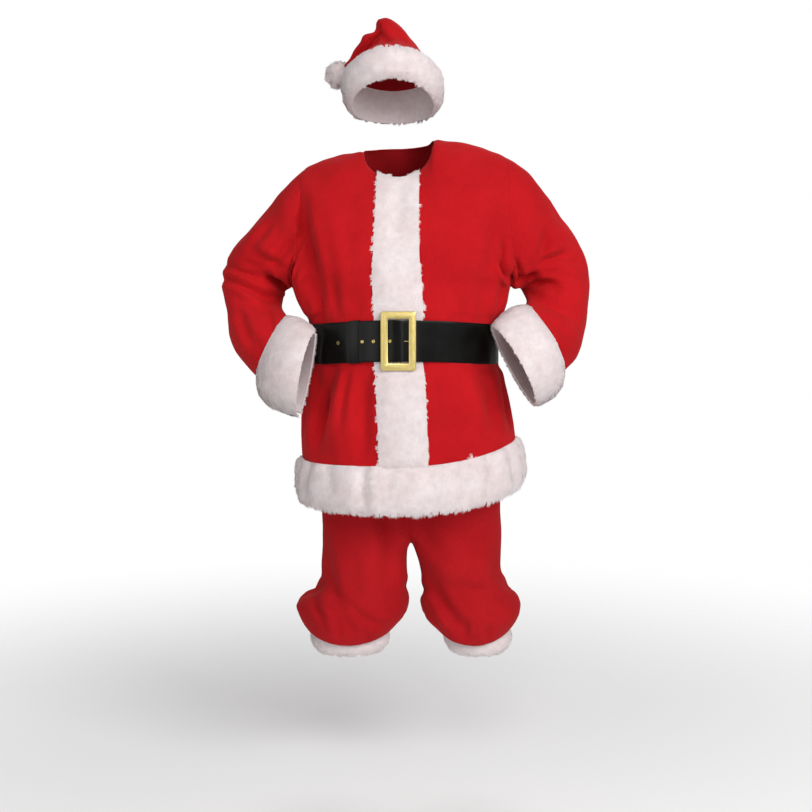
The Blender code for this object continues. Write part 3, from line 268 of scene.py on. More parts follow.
# The sides of several nodes, joined where they are sewn and subdivided as one, so that the surface
# runs smoothly over the seams.
def joinedCloth(nodes, rim, levels, outer=True):
    made = bmesh.new()
    tagLayer = made.faces.layers.int.new("piece")
    for tag, (nodeName, outward) in enumerate(nodes):
        addSide(made, tagLayer, nodeName, tag, rim, outward, outer)
    bmesh.ops.remove_doubles(made, verts=made.verts, dist=0.0009)
    draft = meshFrom(made, "draft")
    holder = addObject("draft", draft)
    rounder = holder.modifiers.new("round", "SUBSURF")
    rounder.levels = rounder.render_levels = levels
    rounder.boundary_smooth = "PRESERVE_CORNERS"
    # smoothing draws the corners in, so the cage is pushed out until the surface passes through them
    target = np.zeros(len(draft.vertices) * 3)
    draft.vertices.foreach_get("co", target)
    cage = target.copy()
    for fitting in range(fitPasses):
        holder.data.update()
        fine = bpy.data.meshes.new_from_object(holder.evaluated_get(bpy.context.evaluated_depsgraph_get()))
        points = np.zeros(len(fine.vertices) * 3)
        fine.vertices.foreach_get("co", points)
        cage += (target - points[:len(target)]) * fitShare
        if fitting < fitPasses - 1:
            draft.vertices.foreach_set("co", cage)
            bpy.data.meshes.remove(fine)
    print("   fitted within", round(float(np.abs(target - points[:len(target)]).max()) * 1000, 2), "mm")
    corners = np.zeros(len(fine.loops), int)
    fine.loops.foreach_get("vertex_index", corners)
    tags = np.zeros(len(fine.polygons), int)
    fine.attributes["piece"].data.foreach_get("value", tags)
    bpy.data.objects.remove(holder)
    return Cloth(points.reshape(-1, 3), corners.reshape(-1, 4), tags)


def borderEdges(quads):
    runs = np.concatenate([quads[:, [k, (k + 1) % 4]] for k in range(4)])
    both = set(map(tuple, runs))
    return np.array([run for run in map(tuple, runs) if run[::-1] not in both])


# The nearest place on the free edges to each of some places, and how far off it is.
def nearestEdge(points, quads, places):
    edges = borderEdges(quads)
    finder = KDTree(2 * len(edges))
    for a, b in edges:
        finder.insert(points[a], int(a))
        finder.insert((points[a] + points[b]) / 2, int(a))
    finder.balance()
    found = [finder.find(place) for place in places]
    return np.array([place for place, _, _ in found]), np.array([away for _, _, away in found])


def dress(mesh, materials, sharp):
    mesh.materials.clear()
    for look in materials:
        mesh.materials.append(look)
    mesh.shade_smooth()
    mesh.set_sharp_from_angle(angle=math.radians(sharp))


def newPiece(name, points, faces, materials, faceLooks=None, sharp=50):
    mesh = bpy.data.meshes.new(name)
    mesh.from_pydata(points.tolist(), [], faces)
    dress(mesh, materials, sharp)
    if faceLooks is not None:
        mesh.polygons.foreach_set("material_index", np.array(faceLooks, dtype=np.int32))
    made = addObject(name, mesh)
    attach(made, "root")
    return made


# A closed wall between an outer and an inner side with the same faces.
def wallPiece(name, outer, inner, quads, materials):
    count = len(outer)
    border = borderEdges(quads)
    rim = np.stack([border[:, 1], border[:, 0], border[:, 0] + count, border[:, 1] + count], axis=1)
    faces = np.concatenate([quads, quads[:, ::-1] + count, rim])
    looks = [0] * len(quads) + [len(materials) - 1] * len(quads) + [0] * len(rim)
    return newPiece(name, np.concatenate([outer, inner]), faces.tolist(), materials, looks)


# One cut piece of a joined cloth, with its edges half a seam's gap inside the seam and rolled in a
# little where they are sewn.
def cutPiece(name, cloth, tag, roll, materials):
    quads = cloth.quads[cloth.tags == tag]
    used, local = np.unique(quads, return_inverse=True)
    quads = local.reshape(-1, 4)
    points, normals = cloth.points[used].copy(), cloth.normals[used]
    border = borderEdges(quads)
    _, away = nearestEdge(points, quads, points)
    side = np.zeros_like(points)
    for ends in (0, 1):
        run = points[border[:, 1]] - points[border[:, 0]]
        np.add.at(side, border[:, ends], np.cross(normals[border[:, ends]], run))
    points += unit(side) * seamGap / 2
    points -= normals * (roll["depth"] * np.exp(-(away / roll["width"]) ** 2))[:, None]
    area = cloth.areas[cloth.tags == tag].sum()
    print(f"   {name}: {area:.3f} square metres")
    return wallPiece(name, points, points - normals * wall, quads, materials)


facings = {"front": (1, -1, 0), "back": (1, 1, 0), "right": (0, -1, 1), "left": (0, 1, 1)}
creaseLook = {"turn": 1.8, "reach": 3.5, "rise": 0.34, "riseAt": 1.9, "steps": 13, "fade": 0.7}


# Soft troughs (or ridges, where the depth is negative) along routes across one side of the cloth.
# A row is the route's places, each across that side and above the floor, then the width and the
# depth, in millimetres. Each fades at both ends and raises the cloth a little on either side of it.
def crease(cloth, sides, mask=None):
    moved = np.zeros(len(cloth.points))
    flat = cloth.points * 1000
    height = flat[:, 2] - floorZ * 1000
    for facing, row in ((facing, row) for facing, rows in sides.items() for row in rows):
        *route, width, depth = row
        axis, sign, other = facings[facing]
        turned = np.clip(cloth.normals[:, axis] * sign * creaseLook["turn"], 0, 1)
        if mask is not None:
            turned = turned * mask
        knots = np.array(route, float).reshape(-1, 2)
        reach = creaseLook["reach"] * width
        near = (turned > 0) & (height > knots[:, 1].min() - reach) & (height < knots[:, 1].max() + reach)
        across = flat[:, other]
        near &= (across > knots[:, 0].min() - reach) & (across < knots[:, 0].max() + reach)
        if not near.any():
            continue
        place = np.stack([across[near], height[near]], axis=1)
        if len(knots) > 2:
            share = np.linspace(0, 1, creaseLook["steps"])[:, None]
            knots = (1 - share) ** 2 * knots[0] + 2 * share * (1 - share) * knots[1] + share**2 * knots[2]
        best, along = np.full(len(place), 1e9), np.zeros(len(place))
        for i in range(len(knots) - 1):
            run = knots[i + 1] - knots[i]
            t = np.clip(((place - knots[i]) @ run) / (run @ run), 0, 1)
            off = np.linalg.norm(place - knots[i] - t[:, None] * run, axis=1)
            closer = off < best
            best = np.where(closer, off, best)
            along = np.where(closer, (i + t) / (len(knots) - 1), along)
        fade = np.sin(math.pi * np.clip(0.06 + 0.9 * along, 0, 1)) ** creaseLook["fade"]
        raised = creaseLook["rise"] * np.exp(-((best - creaseLook["riseAt"] * width) / width) ** 2)
        trough = np.exp(-(best / width) ** 2) - raised
        moved[near] -= turned[near] * depth * fade * trough / 1000
    cloth.points += cloth.normals * moved[:, None]
    cloth.update()


def noiseOver(points, size, shift):
    return np.array([noise.noise(Vector(point) / size + Vector(shift)) for point in points])


# The slow unevenness of cloth on a body.
def soften(cloth, size, depth, seed):
    rise = noiseOver(cloth.points, size, (seed * 3.1, seed * 1.7, seed * 2.3))
    cloth.points += cloth.normals * (rise * depth)[:, None]
    cloth.update()


jacketSettings = {
    "levels": 3, "rim": 0.0026, "seam": {"depth": 0.0007, "width": 0.004},
    "nodes": (("jacket_front_right", (0, -1, 0)), ("jacket_front_left", (0, -1, 0)),
              ("jacket_back", (0, 1, 0)), ("sleeve_right", None), ("sleeve_left", None)),
    "firstSleeve": 3,
    # size, depth and seed of the unevenness
    "uneven": ((0.07, 0.0035, 1), (0.03, 0.0012, 4)),
    # the cut size and area of each of these pieces, in metres, estimated
    "cuts": ((0.36, 0.72, 0.20), (0.36, 0.72, 0.20), (0.62, 0.76, 0.40),
             (0.60, 0.42, 0.22), (0.60, 0.42, 0.22)),
}
bodyCreases = {"front": (
    # a deep fold hangs from the wearer's right shoulder to the belt, with shorter ones beside it
    (-256, 1446, -224, 1313, -188, 1160, 23, 29), (-256, 1332, -234, 1256, -199, 1162, 9, 8),
    (-200, 1424, -168, 1310, -160, 1203, 17, 11), (-208, 1224, -201, 1190, -194, 1158, 8, 9),
    (-150, 1420, -140, 1330, -138, 1232, 28, 6), (-166, 1258, -158, 1216, -152, 1174, 11, 6.5),
    (-98, 1230, -104, 1202, -100, 1174, 14, 3), (216, 1420, 206, 1330, 224, 1236, 20, 4.5),
    (246, 1262, 238, 1222, 232, 1180, 10, 6.5), (196, 1246, 190, 1204, 196, 1170, 13, 4),
    (112, 1240, 104, 1206, 108, 1174, 16, 3), (150, 1216, 156, 1192, 152, 1168, 10, 2.5),
    # puckers under and over the belt, and flutes down the skirt
    (-163, 1054, -189, 966, -209, 843, 14, 15), (-84, 1055, -97, 967, -90, 840, 16, 11),
    (-129, 1046, -142, 979, -151, 907, 11, 8), (-196, 1048, -214, 990, -226, 900, 12, 5),
    (-74, 1064, -72, 1030, -78, 1000, 8, 3), (93, 1055, 105, 979, 119, 883, 15, 4.5),
    (140, 1058, 148, 1020, 152, 976, 10, 3), (181, 1044, 205, 965, 220, 880, 15, 5.5),
    (248, 1007, 261, 946, 266, 883, 12, 5),
), "right": (
    (-104, 1030, -116, 960, -120, 870, 14, 8), (-48, 1036, -54, 940, -50, 860, 17, 7),
    (14, 1034, 22, 980, 14, 900, 12, 7), (72, 1028, 82, 950, 90, 850, 16, 8),
    (-84, 1172, -90, 1200, -86, 1224, 11, 5), (-22, 1166, -26, 1200, -30, 1236, 13, 6.5),
    (50, 1162, 56, 1194, 52, 1216, 11, 5),
), "left": (
    (-110, 1030, -118, 960, -122, 890, 15, 6), (-40, 1034, -48, 960, -52, 890, 14, 8),
    (24, 1034, 22, 960, 30, 870, 17, 7), (86, 1026, 94, 960, 100, 900, 12, 8),
    (-70, 1172, -76, 1204, -72, 1232, 12, 5.5), (-4, 1166, -8, 1196, -2, 1218, 11, 6),
    (62, 1162, 70, 1194, 66, 1224, 13, 5),
), "back": (
    (-172, 1016, -182, 940, -186, 840, 16, 10), (-116, 1012, -124, 950, -120, 880, 12, 7),
    (-58, 1010, -64, 930, -66, 830, 18, 8), (2, 1008, 6, 970, 4, 920, 12, 5),
    (56, 1010, 66, 920, 70, 830, 15, 9), (122, 1012, 128, 960, 134, 900, 13, 6),
    (178, 1018, 190, 940, 196, 846, 17, 9.5), (-180, 1142, -176, 1180, -182, 1230, 12, 7),
    (-116, 1132, -110, 1176, -122, 1210, 14, 7), (-56, 1136, -52, 1160, -56, 1190, 11, 5.5),
    (38, 1144, 32, 1184, 40, 1226, 13, 5.5), (30, 1170, 28, 1112, 26, 1050, 19, 5),
    (104, 1132, 110, 1162, 104, 1196, 11, 6.5), (172, 1140, 170, 1186, 180, 1240, 13, 7),
    # across the shoulder blades and from the armholes to the waist
    (-214, 1440, -196, 1340, -214, 1246, 18, 9), (-206, 1300, -150, 1240, -104, 1176, 15, 9),
    (-196, 1380, -120, 1340, -50, 1346, 22, 5), (-160, 1470, -90, 1440, -20, 1450, 26, 4),
    (222, 1440, 204, 1340, 220, 1250, 18, 8.5), (208, 1310, 156, 1244, 122, 1186, 15, 9),
    (196, 1390, 130, 1350, 58, 1340, 22, 5), (150, 1480, 90, 1450, 30, 1462, 26, 4),
)}
armCreases = {"front": (
    # wearer's right: two long folds run in to the bent elbow, under a short deep one
    (-318, 1395, -338, 1362, -367, 1337, 12, 8), (-265, 1352, -294, 1314, -323, 1275, 11, 10),
    (-362, 1328, -329, 1299, -285, 1284, 11, 9), (-428, 1287, -392, 1270, -353, 1263, 8, 9),
    (-426, 1253, -349, 1229, -293, 1185, 9, 13), (-330, 1264, -299, 1244, -268, 1218, 9, 18),
    (-304, 1242, -286, 1232, -268, 1212, 9, 14), (-424, 1216, -386, 1206, -340, 1186, 11, 5),
    (-339, 1207, -315, 1178, -311, 1134, 10, 9), (-398, 1183, -374, 1134, -355, 1085, 13, 10),
    (-352, 1126, -338, 1100, -330, 1064, 10, 4),
    # wearer's left: crisp folds fan out from the underarm
    (353, 1374, 353, 1345, 334, 1313, 11, 11), (388, 1416, 384, 1380, 366, 1350, 16, 4.5),
    (275, 1300, 285, 1276, 282, 1247, 8, 11), (339, 1296, 370, 1311, 406, 1318, 9, 12),
    (288, 1249, 307, 1268, 329, 1266, 8, 15), (307, 1234, 339, 1254, 380, 1237, 9, 12),
    (388, 1289, 420, 1294, 444, 1289, 11, 4), (322, 1206, 356, 1196, 412, 1168, 11, 6.5),
    (330, 1170, 362, 1158, 398, 1122, 12, 6), (340, 1126, 370, 1104, 388, 1068, 12, 5),
), "back": (
    (-300, 1420, -322, 1360, -316, 1300, 14, 9), (-280, 1330, -306, 1290, -300, 1250, 11, 7.5),
    (-430, 1300, -370, 1282, -310, 1240, 10, 9), (-436, 1248, -380, 1230, -316, 1200, 9, 10),
    (-404, 1270, -368, 1262, -340, 1256, 8, 6), (-424, 1196, -376, 1180, -330, 1166, 11, 7),
    (-404, 1130, -380, 1110, -330, 1096, 13, 6), (310, 1436, 336, 1380, 330, 1310, 14, 9),
    (290, 1350, 316, 1306, 312, 1262, 11, 7.5), (446, 1310, 386, 1290, 324, 1250, 10, 9),
    (452, 1256, 396, 1232, 328, 1210, 9, 10), (420, 1276, 384, 1268, 352, 1262, 8, 6),
    (440, 1196, 392, 1176, 340, 1170, 11, 7), (420, 1126, 392, 1104, 344, 1100, 13, 6),
), "right": (
    (-50, 1292, 0, 1290, 60, 1286, 8, 4), (-54, 1256, 0, 1252, 70, 1248, 9, 5),
    (92, 1290, 116, 1274, 140, 1270, 12, 6), (88, 1240, 110, 1232, 140, 1236, 12, 6),
    (-10, 1420, 10, 1380, 4, 1340, 18, 4),
), "left": (
    (-50, 1310, -30, 1302, 6, 1290, 11, 5), (-54, 1266, -26, 1252, 10, 1252, 11, 6),
    (92, 1296, 116, 1282, 142, 1284, 12, 6), (88, 1246, 110, 1236, 140, 1232, 12, 6),
    (-6, 1440, 14, 1396, 2, 1350, 18, 4),
)}
# dark folds that run over the armhole seams into the underarms
underarmCreases = {"front": (
    (246, 1356, 234, 1312, 264, 1250, 8, 13), (234, 1304, 246, 1281, 270, 1246, 8, 17),
    (-250, 1300, -262, 1272, -270, 1236, 9, 8),
), "back": (
    (246, 1356, 236, 1312, 262, 1252, 9, 9), (-252, 1350, -244, 1306, -268, 1250, 9, 9),
)}

jacket = joinedCloth(jacketSettings["nodes"], jacketSettings["rim"], jacketSettings["levels"])
onArm = np.zeros(len(jacket.points))
onArm[np.unique(jacket.quads[jacket.tags >= jacketSettings["firstSleeve"]])] = 1
onBody = np.zeros(len(jacket.points))
onBody[np.unique(jacket.quads[jacket.tags < jacketSettings["firstSleeve"]])] = 1
crease(jacket, bodyCreases, onBody)
crease(jacket, armCreases, onArm)
crease(jacket, underarmCreases)
for size, depth, seed in jacketSettings["uneven"]:
    soften(jacket, size, depth, seed)
for tag, (nodeName, _) in enumerate(jacketSettings["nodes"]):
    piece = cutPiece(nodeName + "_plush", jacket, tag, jacketSettings["seam"], (redPlush, redBack))
    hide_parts(nodeName)
    width, length, area = jacketSettings["cuts"][tag]
print("jacket made")


trouserSettings = {
    "levels": 3, "rim": 0.0026, "seam": {"depth": 0.0014, "width": 0.006},
    "nodes": (("trouser_front_right", (0, -1, 0)), ("trouser_front_left", (0, -1, 0)),
              ("trouser_back_right", (0, 1, 0)), ("trouser_back_left", (0, 1, 0))),
    "cut": (0.36, 0.80, 0.22), "uneven": (0.06, 0.003, 2),
    "casing": {"gathers": 46, "depth": 0.0008, "wall": 0.0028, "rim": 0.0036, "cut": (1.32, 0.055)},
}
trouserCreases = {"front": (
    (-199, 629, -183, 504, -125, 409, 16, 10), (-225, 482, -201, 447, -191, 416, 10, 9),
    (-52, 712, -34, 640, -24, 530, 17, 20), (-16, 730, 0, 670, 18, 600, 12, -9),
    (-16, 700, 6, 660, 24, 614, 10, 8), (40, 700, 60, 660, 70, 600, 24, 5),
    (-73, 616, -44, 542, -24, 467, 17, 6), (-139, 479, -98, 429, -44, 409, 11, 7),
    (-120, 600, -112, 540, -124, 476, 18, 4), (-164, 440, -152, 410, -156, 380, 9, 6),
    (-92, 424, -84, 400, -92, 374, 8, 4.5), (64, 519, 108, 449, 162, 394, 14, 10),
    (137, 509, 191, 499, 249, 487, 13, 6), (206, 462, 230, 440, 262, 430, 11, 5.5),
    (212, 420, 206, 396, 214, 372, 9, 6), (64, 452, 78, 414, 104, 384, 10, 6.5),
    (36, 640, 66, 600, 120, 590, 18, 5), (148, 640, 172, 586, 168, 530, 20, 4.5),
    (160, 430, 150, 404, 154, 378, 8, 4.5),
), "back": (
    (-200, 550, -170, 480, -118, 400, 14, 10), (-228, 490, -216, 450, -200, 416, 11, 8),
    (-60, 560, -44, 500, -52, 420, 16, 8), (-120, 620, -80, 600, -20, 612, 16, 7),
    (-130, 450, -140, 410, -130, 376, 9, 6), (76, 560, 100, 480, 130, 404, 14, 10),
    (246, 520, 214, 480, 180, 400, 14, 8), (40, 614, 90, 596, 150, 612, 16, 7),
    (170, 470, 160, 430, 168, 380, 10, 7),
), "right": (
    (-70, 500, -30, 476, 20, 470, 12, 6), (60, 500, 30, 480, -6, 440, 12, 6),
    (-40, 430, -34, 400, -40, 384, 10, 5), (40, 430, 46, 404, 40, 384, 10, 5),
), "left": (
    (-74, 510, -30, 484, 24, 480, 12, 6), (66, 506, 30, 482, 0, 440, 12, 6),
    (-36, 436, -42, 410, -36, 388, 10, 5), (44, 436, 38, 406, 44, 388, 10, 5),
)}
trousers = joinedCloth(trouserSettings["nodes"], trouserSettings["rim"], trouserSettings["levels"])
crease(trousers, trouserCreases)
soften(trousers, *trouserSettings["uneven"])
width, length, area = trouserSettings["cut"]
for tag, (nodeName, _) in enumerate(trouserSettings["nodes"]):
    piece = cutPiece(nodeName + "_plush", trousers, tag, trouserSettings["seam"], (trouserPlush, trouserBack))
    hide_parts(nodeName)

# the waist casing, gathered over its elastic
casing = trouserSettings["casing"]
inside = joinedCloth((("trouser_waistband", None),), casing["rim"], 2, outer=False)
turn = np.arctan2(inside.points[:, 1], inside.points[:, 0])
inside.points -= inside.normals * (casing["depth"] * (1 + np.sin(turn * casing["gathers"])))[:, None]
waistband = wallPiece("trouser_waistband_casing", inside.points + inside.normals * casing["wall"],
                      inside.points, inside.quads, (trouserPlush, trouserPlush))
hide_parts("trouser_waistband")
print("trousers made")


hatSettings = {
    "levels": 2, "rim": 0.0026, "seam": {"depth": 0.0012, "width": 0.005}, "uneven": (0.035, 0.002, 3),
    # the tail lies beyond tailX; the edge is held within hold
    "tailX": -0.05, "hold": 0.012,
    # fitted: a first estimate of 0.62 by 0.30 m and 0.10 square metres failed the area test
    "cut": (0.60, 0.24, 0.072),
}
hatCreases = {"front": (
    (-112, 1778, -92, 1808, -58, 1838, 8, 5), (-95, 1800, -90, 1789, -106, 1779, 7, 4),
    (-57, 1850, -42, 1831, -23, 1812, 8, 5.5), (-16, 1858, 6, 1830, 24, 1796, 10, 3),
    (-50, 1782, -40, 1800, -44, 1822, 8, 3),
), "back": (
    (-70, 1776, -50, 1806, -44, 1846, 8, 6), (-10, 1778, -16, 1810, -34, 1846, 9, 5),
    (34, 1782, 14, 1808, -10, 1840, 9, 4.5),
), "left": (
    (-44, 1790, -20, 1812, 6, 1846, 9, 4), (40, 1784, 26, 1812, 14, 1844, 9, 4),
), "right": (
    (-50, 1786, -30, 1812, -6, 1840, 9, 4),
)}
# the tail lies against the crown where it folds over
tailFolds = {"left": (
    (0, 1842, 24, 1822, 48, 1796, 15, -8),
), "right": (
    (-40, 1858, 0, 1856, 40, 1860, 10, 10), (-14, 1838, 14, 1820, 40, 1800, 16, -6),
)}
crown = joinedCloth((("hat_crown", None),), hatSettings["rim"], hatSettings["levels"])
sewn = crown.points.copy()
_, away = nearestEdge(crown.points, crown.quads, crown.points)
crease(crown, hatCreases)
crease(crown, tailFolds, crown.points[:, 0] < hatSettings["tailX"])
soften(crown, *hatSettings["uneven"])
# the edge stays where it is sewn to the band
held = np.exp(-((away / hatSettings["hold"]) ** 2))
crown.points = sewn + (crown.points - sewn) * (1 - held)[:, None]
crown.update()
hatCrown = cutPiece("hat_crown_plush", crown, 0, hatSettings["seam"], (redPlush, redBack))
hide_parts("hat_crown")
print("hat made")


# The backing of a fur trim under its pile, from the solid's inner side out to a share of its height,
# with the low waves that the locks lie in.
def furBase(name, nodeName, look):
    inside = joinedCloth(((nodeName, look["outward"]),), look["rim"], look["levels"], outer=False)
    outside = joinedCloth(((nodeName, look["outward"]),), look["rim"], look["levels"])
    solid = BVHTree.FromPolygons(outside.points.tolist(), outside.quads.tolist())
    height = []
    for point, normal in zip(inside.points, inside.normals):
        start = Vector(point)
        hit = solid.ray_cast(start, Vector(normal), look["reach"])
        height.append(hit[3] if hit[0] else (solid.find_nearest(start)[0] - start).length)
    shift = (look["seed"], 0.4 * look["seed"], 0.0)
    waves = noiseOver(inside.points, look["wave"], shift)
    fine = noiseOver(inside.points, 0.4 * look["wave"], shift)
    _, away = nearestEdge(inside.points, inside.quads, inside.points)
    height = np.array(height)
    raised = np.maximum(height * look["share"], look["least"])
    raised += (waves * look["heave"] + fine * look["heave"] / 2) * height
    raised = np.minimum(raised, look["edge"] + away * look["slope"])
    top = Cloth(inside.points + inside.normals * raised[:, None], inside.quads, inside.tags)
    crease(top, look["folds"])
    piece = wallPiece(name, top.points, inside.points, inside.quads, (whiteFur, whiteFur))
    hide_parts(nodeName)
    print(f"   {name}: {top.areas.sum():.3f} square metres")
    return piece, top


# The pile: narrow blades in locks, pointed at both ends, each rooted on the backing, leaning with
# the lay, out over the near edge and then to its lock's tip. A blade is about 1.5 mm wide and stands
# for a tuft of far finer fibres, which wouldn't show.
def growPile(name, top, look, lay):
    rng = np.random.default_rng(look["seed"])
    share = top.areas / top.areas.sum()

    def scatter(spacing):
        number = int(top.areas.sum() * 1e6 * spacing)
        face = rng.choice(len(top.quads), number, p=share)
        u, v = rng.random((2, number, 1))
        weights = ((1 - u) * (1 - v), u * (1 - v), u * v, (1 - u) * v)
        corners = top.quads[face]
        place = sum(w * top.points[corners[:, k]] for k, w in enumerate(weights))
        normal = unit(sum(w * top.normals[corners[:, k]] for k, w in enumerate(weights)))
        height = place[:, 2] - floorZ
        bare = (height > look["bare"][0]) & (height < look["bare"][1])
        return place[~bare], normal[~bare]

    def leaning(place, spread):
        edge, away = nearestEdge(top.points, top.quads, place)
        near = np.exp(-away / look["edgeReach"])
        lean = np.array(lay) + unit(edge - place) * (look["spill"] * near)[:, None]
        return lean + rng.normal(0, spread, place.shape), near

    root, normal = scatter(look["density"])
    lockRoot, lockNormal = scatter(1 / look["lock"] ** 2)
    count, lockCount = len(root), len(lockRoot)
    lockLean, near = leaning(lockRoot, look["swirl"])
    lockLength = look["length"] * rng.uniform(*look["lockSpread"], lockCount) * (1 - look["trim"] * near)
    lockLean = lockLean - lockNormal * (lockLean * lockNormal).sum(axis=1, keepdims=True)
    lockTip = lockRoot + unit(lockNormal * look["rise"] + unit(lockLean)) * lockLength[:, None]
    finder = KDTree(lockCount)
    for i, point in enumerate(lockRoot):
        finder.insert(point, i)
    finder.balance()
    mine = np.array([finder.find(point)[1] for point in root])
    lean = lockLean[mine] + rng.normal(0, look["stray"], (count, 3))
    lean = unit(lean - normal * (lean * normal).sum(axis=1, keepdims=True))
    length = lockLength[mine] * rng.uniform(*look["spread"], count)
    first = unit(normal * look["rise"] + lean * 0.8)
    second = unit(normal * look["rise"] * 0.3 + lean * 1.1 + np.array([0, 0, -look["droop"]]))
    start = root - normal * look["root"]
    middle = start + first * (0.55 * length)[:, None]
    tip = middle + second * (0.5 * length)[:, None]
    middle += (lockTip[mine] - tip) * 0.12
    tip += (lockTip[mine] - tip) * look["gather"]
    side = unit(np.cross(normal, lean) + rng.normal(0, 0.25, (count, 3)))
    half = side * (look["blade"] * rng.uniform(*look["spread"], count) / 2)[:, None]
    points = np.stack([start, middle - half, tip, middle + half], axis=1)
    base = np.arange(count)[:, None] * 4
    faces = np.concatenate([base + (0, 1, 3), base + (1, 2, 3)])
    corners = points.reshape(-1, 3)[faces]
    facing = np.cross(corners[:, 1] - corners[:, 0], corners[:, 2] - corners[:, 0])
    back = (facing * np.tile(normal, (2, 1))).sum(axis=1) < 0
    faces[back] = faces[back][:, ::-1]
    piece = newPiece(name, points.reshape(-1, 3), faces.tolist(), (furPile,), sharp=180)
    shown = unit(normal[:, None, :] + look["shine"] * unit(tip - start)[:, None, :] + np.zeros((1, 4, 1)))
    piece.data.normals_split_custom_set_from_vertices(shown.reshape(-1, 3).tolist())
    # the blades are coarser than pile, and hard shadows between them would show it
    piece.visible_shadow = False
    print(f"   {name}: {count} blades in {lockCount} locks")
    return piece


# the lay is a direction in metres; the pile spills out over the edges within the given reach
pileLook = {"density": 0.29, "lock": 8.0, "length": 0.013, "rise": 0.3, "swirl": 0.25, "stray": 0.16,
            "droop": 0.15, "gather": 0.35, "blade": 0.0015, "spill": 0.6, "edgeReach": 0.014,
            "bare": (9, 9), "shine": 0.12, "trim": 0, "root": 0.001,
            "lockSpread": (0.75, 1.2), "spread": (0.7, 1.15)}
baseLook = {"rim": 0.015, "levels": 2, "outward": None, "share": 0.8, "wave": 0.03, "heave": 0.09,
            "edge": 0.005, "slope": 0.9, "least": 0.001, "reach": 0.04, "folds": {}}
# the hem's fur buckles where the skirt flutes above it
hemFolds = {"front": (
    (-176, 860, -172, 800, -178, 730, 15, 5), (-92, 856, -90, 790, -95, 720, 13, 9),
    (-28, 850, -30, 800, -26, 740, 18, 3.5), (72, 850, 76, 800, 70, 730, 20, 3.5),
    (150, 868, 160, 810, 152, 736, 15, 6), (206, 884, 214, 830, 210, 760, 13, 6),
), "back": (
    (-190, 870, -186, 800, -194, 730, 15, 7), (-122, 870, -126, 800, -120, 740, 13, 6),
    (-60, 864, -66, 790, -60, 720, 16, 8), (68, 864, 64, 800, 72, 730, 15, 8),
    (136, 870, 142, 810, 134, 740, 14, 6), (196, 880, 200, 810, 194, 740, 15, 7),
), "right": (
    (-110, 860, -116, 800, -110, 740, 14, 6), (-40, 860, -46, 800, -42, 730, 15, 7),
    (26, 866, 30, 800, 24, 740, 14, 6), (96, 866, 92, 800, 98, 730, 15, 7),
), "left": (
    (-108, 880, -114, 820, -110, 760, 14, 6), (-44, 880, -50, 820, -42, 750, 15, 7),
    (22, 880, 28, 820, 22, 760, 14, 6), (92, 880, 88, 820, 96, 750, 15, 7),
)}
cuffPile = {"density": 0.36, "spill": 0.25, "trim": 0.55}
legPile = {"length": 0.012, "density": 0.3}
# node, changes to the backing and to the pile, the lay, then the cut's estimated width, length, area
furTrims = (
    ("hem_fur", {"seed": 11, "heave": 0.14, "folds": hemFolds}, {"seed": 21, "length": 0.016, "spill": 0.2},
     (0, 0, -0.8), (1.50, 0.14, 0.205)),
    ("cuff_fur_right", {"seed": 12, "heave": 0.13}, cuffPile | {"seed": 22},
     (0.2, -0.25, -0.3), (0.66, 0.12, 0.075)),
    ("cuff_fur_left", {"seed": 13, "heave": 0.13}, cuffPile | {"seed": 23},
     (-0.2, -0.2, -0.3), (0.66, 0.12, 0.075)),
    ("front_band_fur", {"seed": 14, "outward": (0, -1, 0)},
     {"seed": 24, "length": 0.010, "density": 0.38, "spill": 0.12, "bare": (1.062, 1.176)},
     (0, 0, -0.45), (0.116, 0.74, 0.085)),
    ("leg_fur_right", {"seed": 15}, legPile | {"seed": 25}, (0, 0, -0.7), (0.48, 0.09, 0.035)),
    ("leg_fur_left", {"seed": 16}, legPile | {"seed": 26}, (0, 0, -0.7), (0.48, 0.09, 0.035)),
    ("hat_band_fur", {"seed": 17, "share": 0.78, "edge": 0.009, "rim": 40},
     {"seed": 27, "length": 0.012, "density": 0.5, "spill": 0.45, "trim": 0.2},
     (0, 0, 0.25), (0.70, 0.10, 0.060)),
)
for nodeName, baseChange, pileChange, lay, (width, length, area) in furTrims:
    base, top = furBase(nodeName + "_backing", nodeName, baseLook | baseChange)
    pile = growPile(nodeName + "_pile", top, pileLook | pileChange, lay)
print("fur made")


# the pompom: a lumpy core under a ball of pile, thinner where the hat's tail is sewn into it
pompomSettings = {
    "centre": (-0.153, 0.062, 0.191), "core": 0.026, "lump": 0.09, "lumps": 70,
    # towards the tail, and how nearly that way the ball is bare
    "tail": (0.66, -0.36, 0.66), "bare": 0.86,
}
ball = bmesh.new()
bmesh.ops.create_icosphere(ball, subdivisions=4, radius=pompomSettings["core"])
middle = Vector(pompomSettings["centre"])
for vert in ball.verts:
    lump = pompomSettings["lump"] * noise.noise(vert.co * pompomSettings["lumps"])
    vert.co = vert.co * (1 + lump) + middle
corePoints = np.array([vert.co for vert in ball.verts])
coreFaces = [[vert.index for vert in face.verts] for face in ball.faces]
ball.free()
core = newPiece("hat_pompom_core", corePoints, coreFaces, (whiteFur,), sharp=180)
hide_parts("hat_pompom")
tailSide = np.array(Vector(pompomSettings["tail"]).normalized())
covered = []
for face in coreFaces:
    out = unit(corePoints[face].mean(axis=0) - pompomSettings["centre"])
    if np.dot(out, tailSide) < pompomSettings["bare"]:
        covered.append(face + face[2:])
shellCloth = Cloth(corePoints, np.array(covered), np.zeros(len(covered), int))
growPile("hat_pompom_pile", shellCloth,
         pileLook | {"seed": 31, "density": 0.55, "length": 0.017, "rise": 0.9, "swirl": 0.5,
                     "stray": 0.35, "droop": 0.1, "spill": 0},
         (0, 0, -0.2))
print("pompom made")


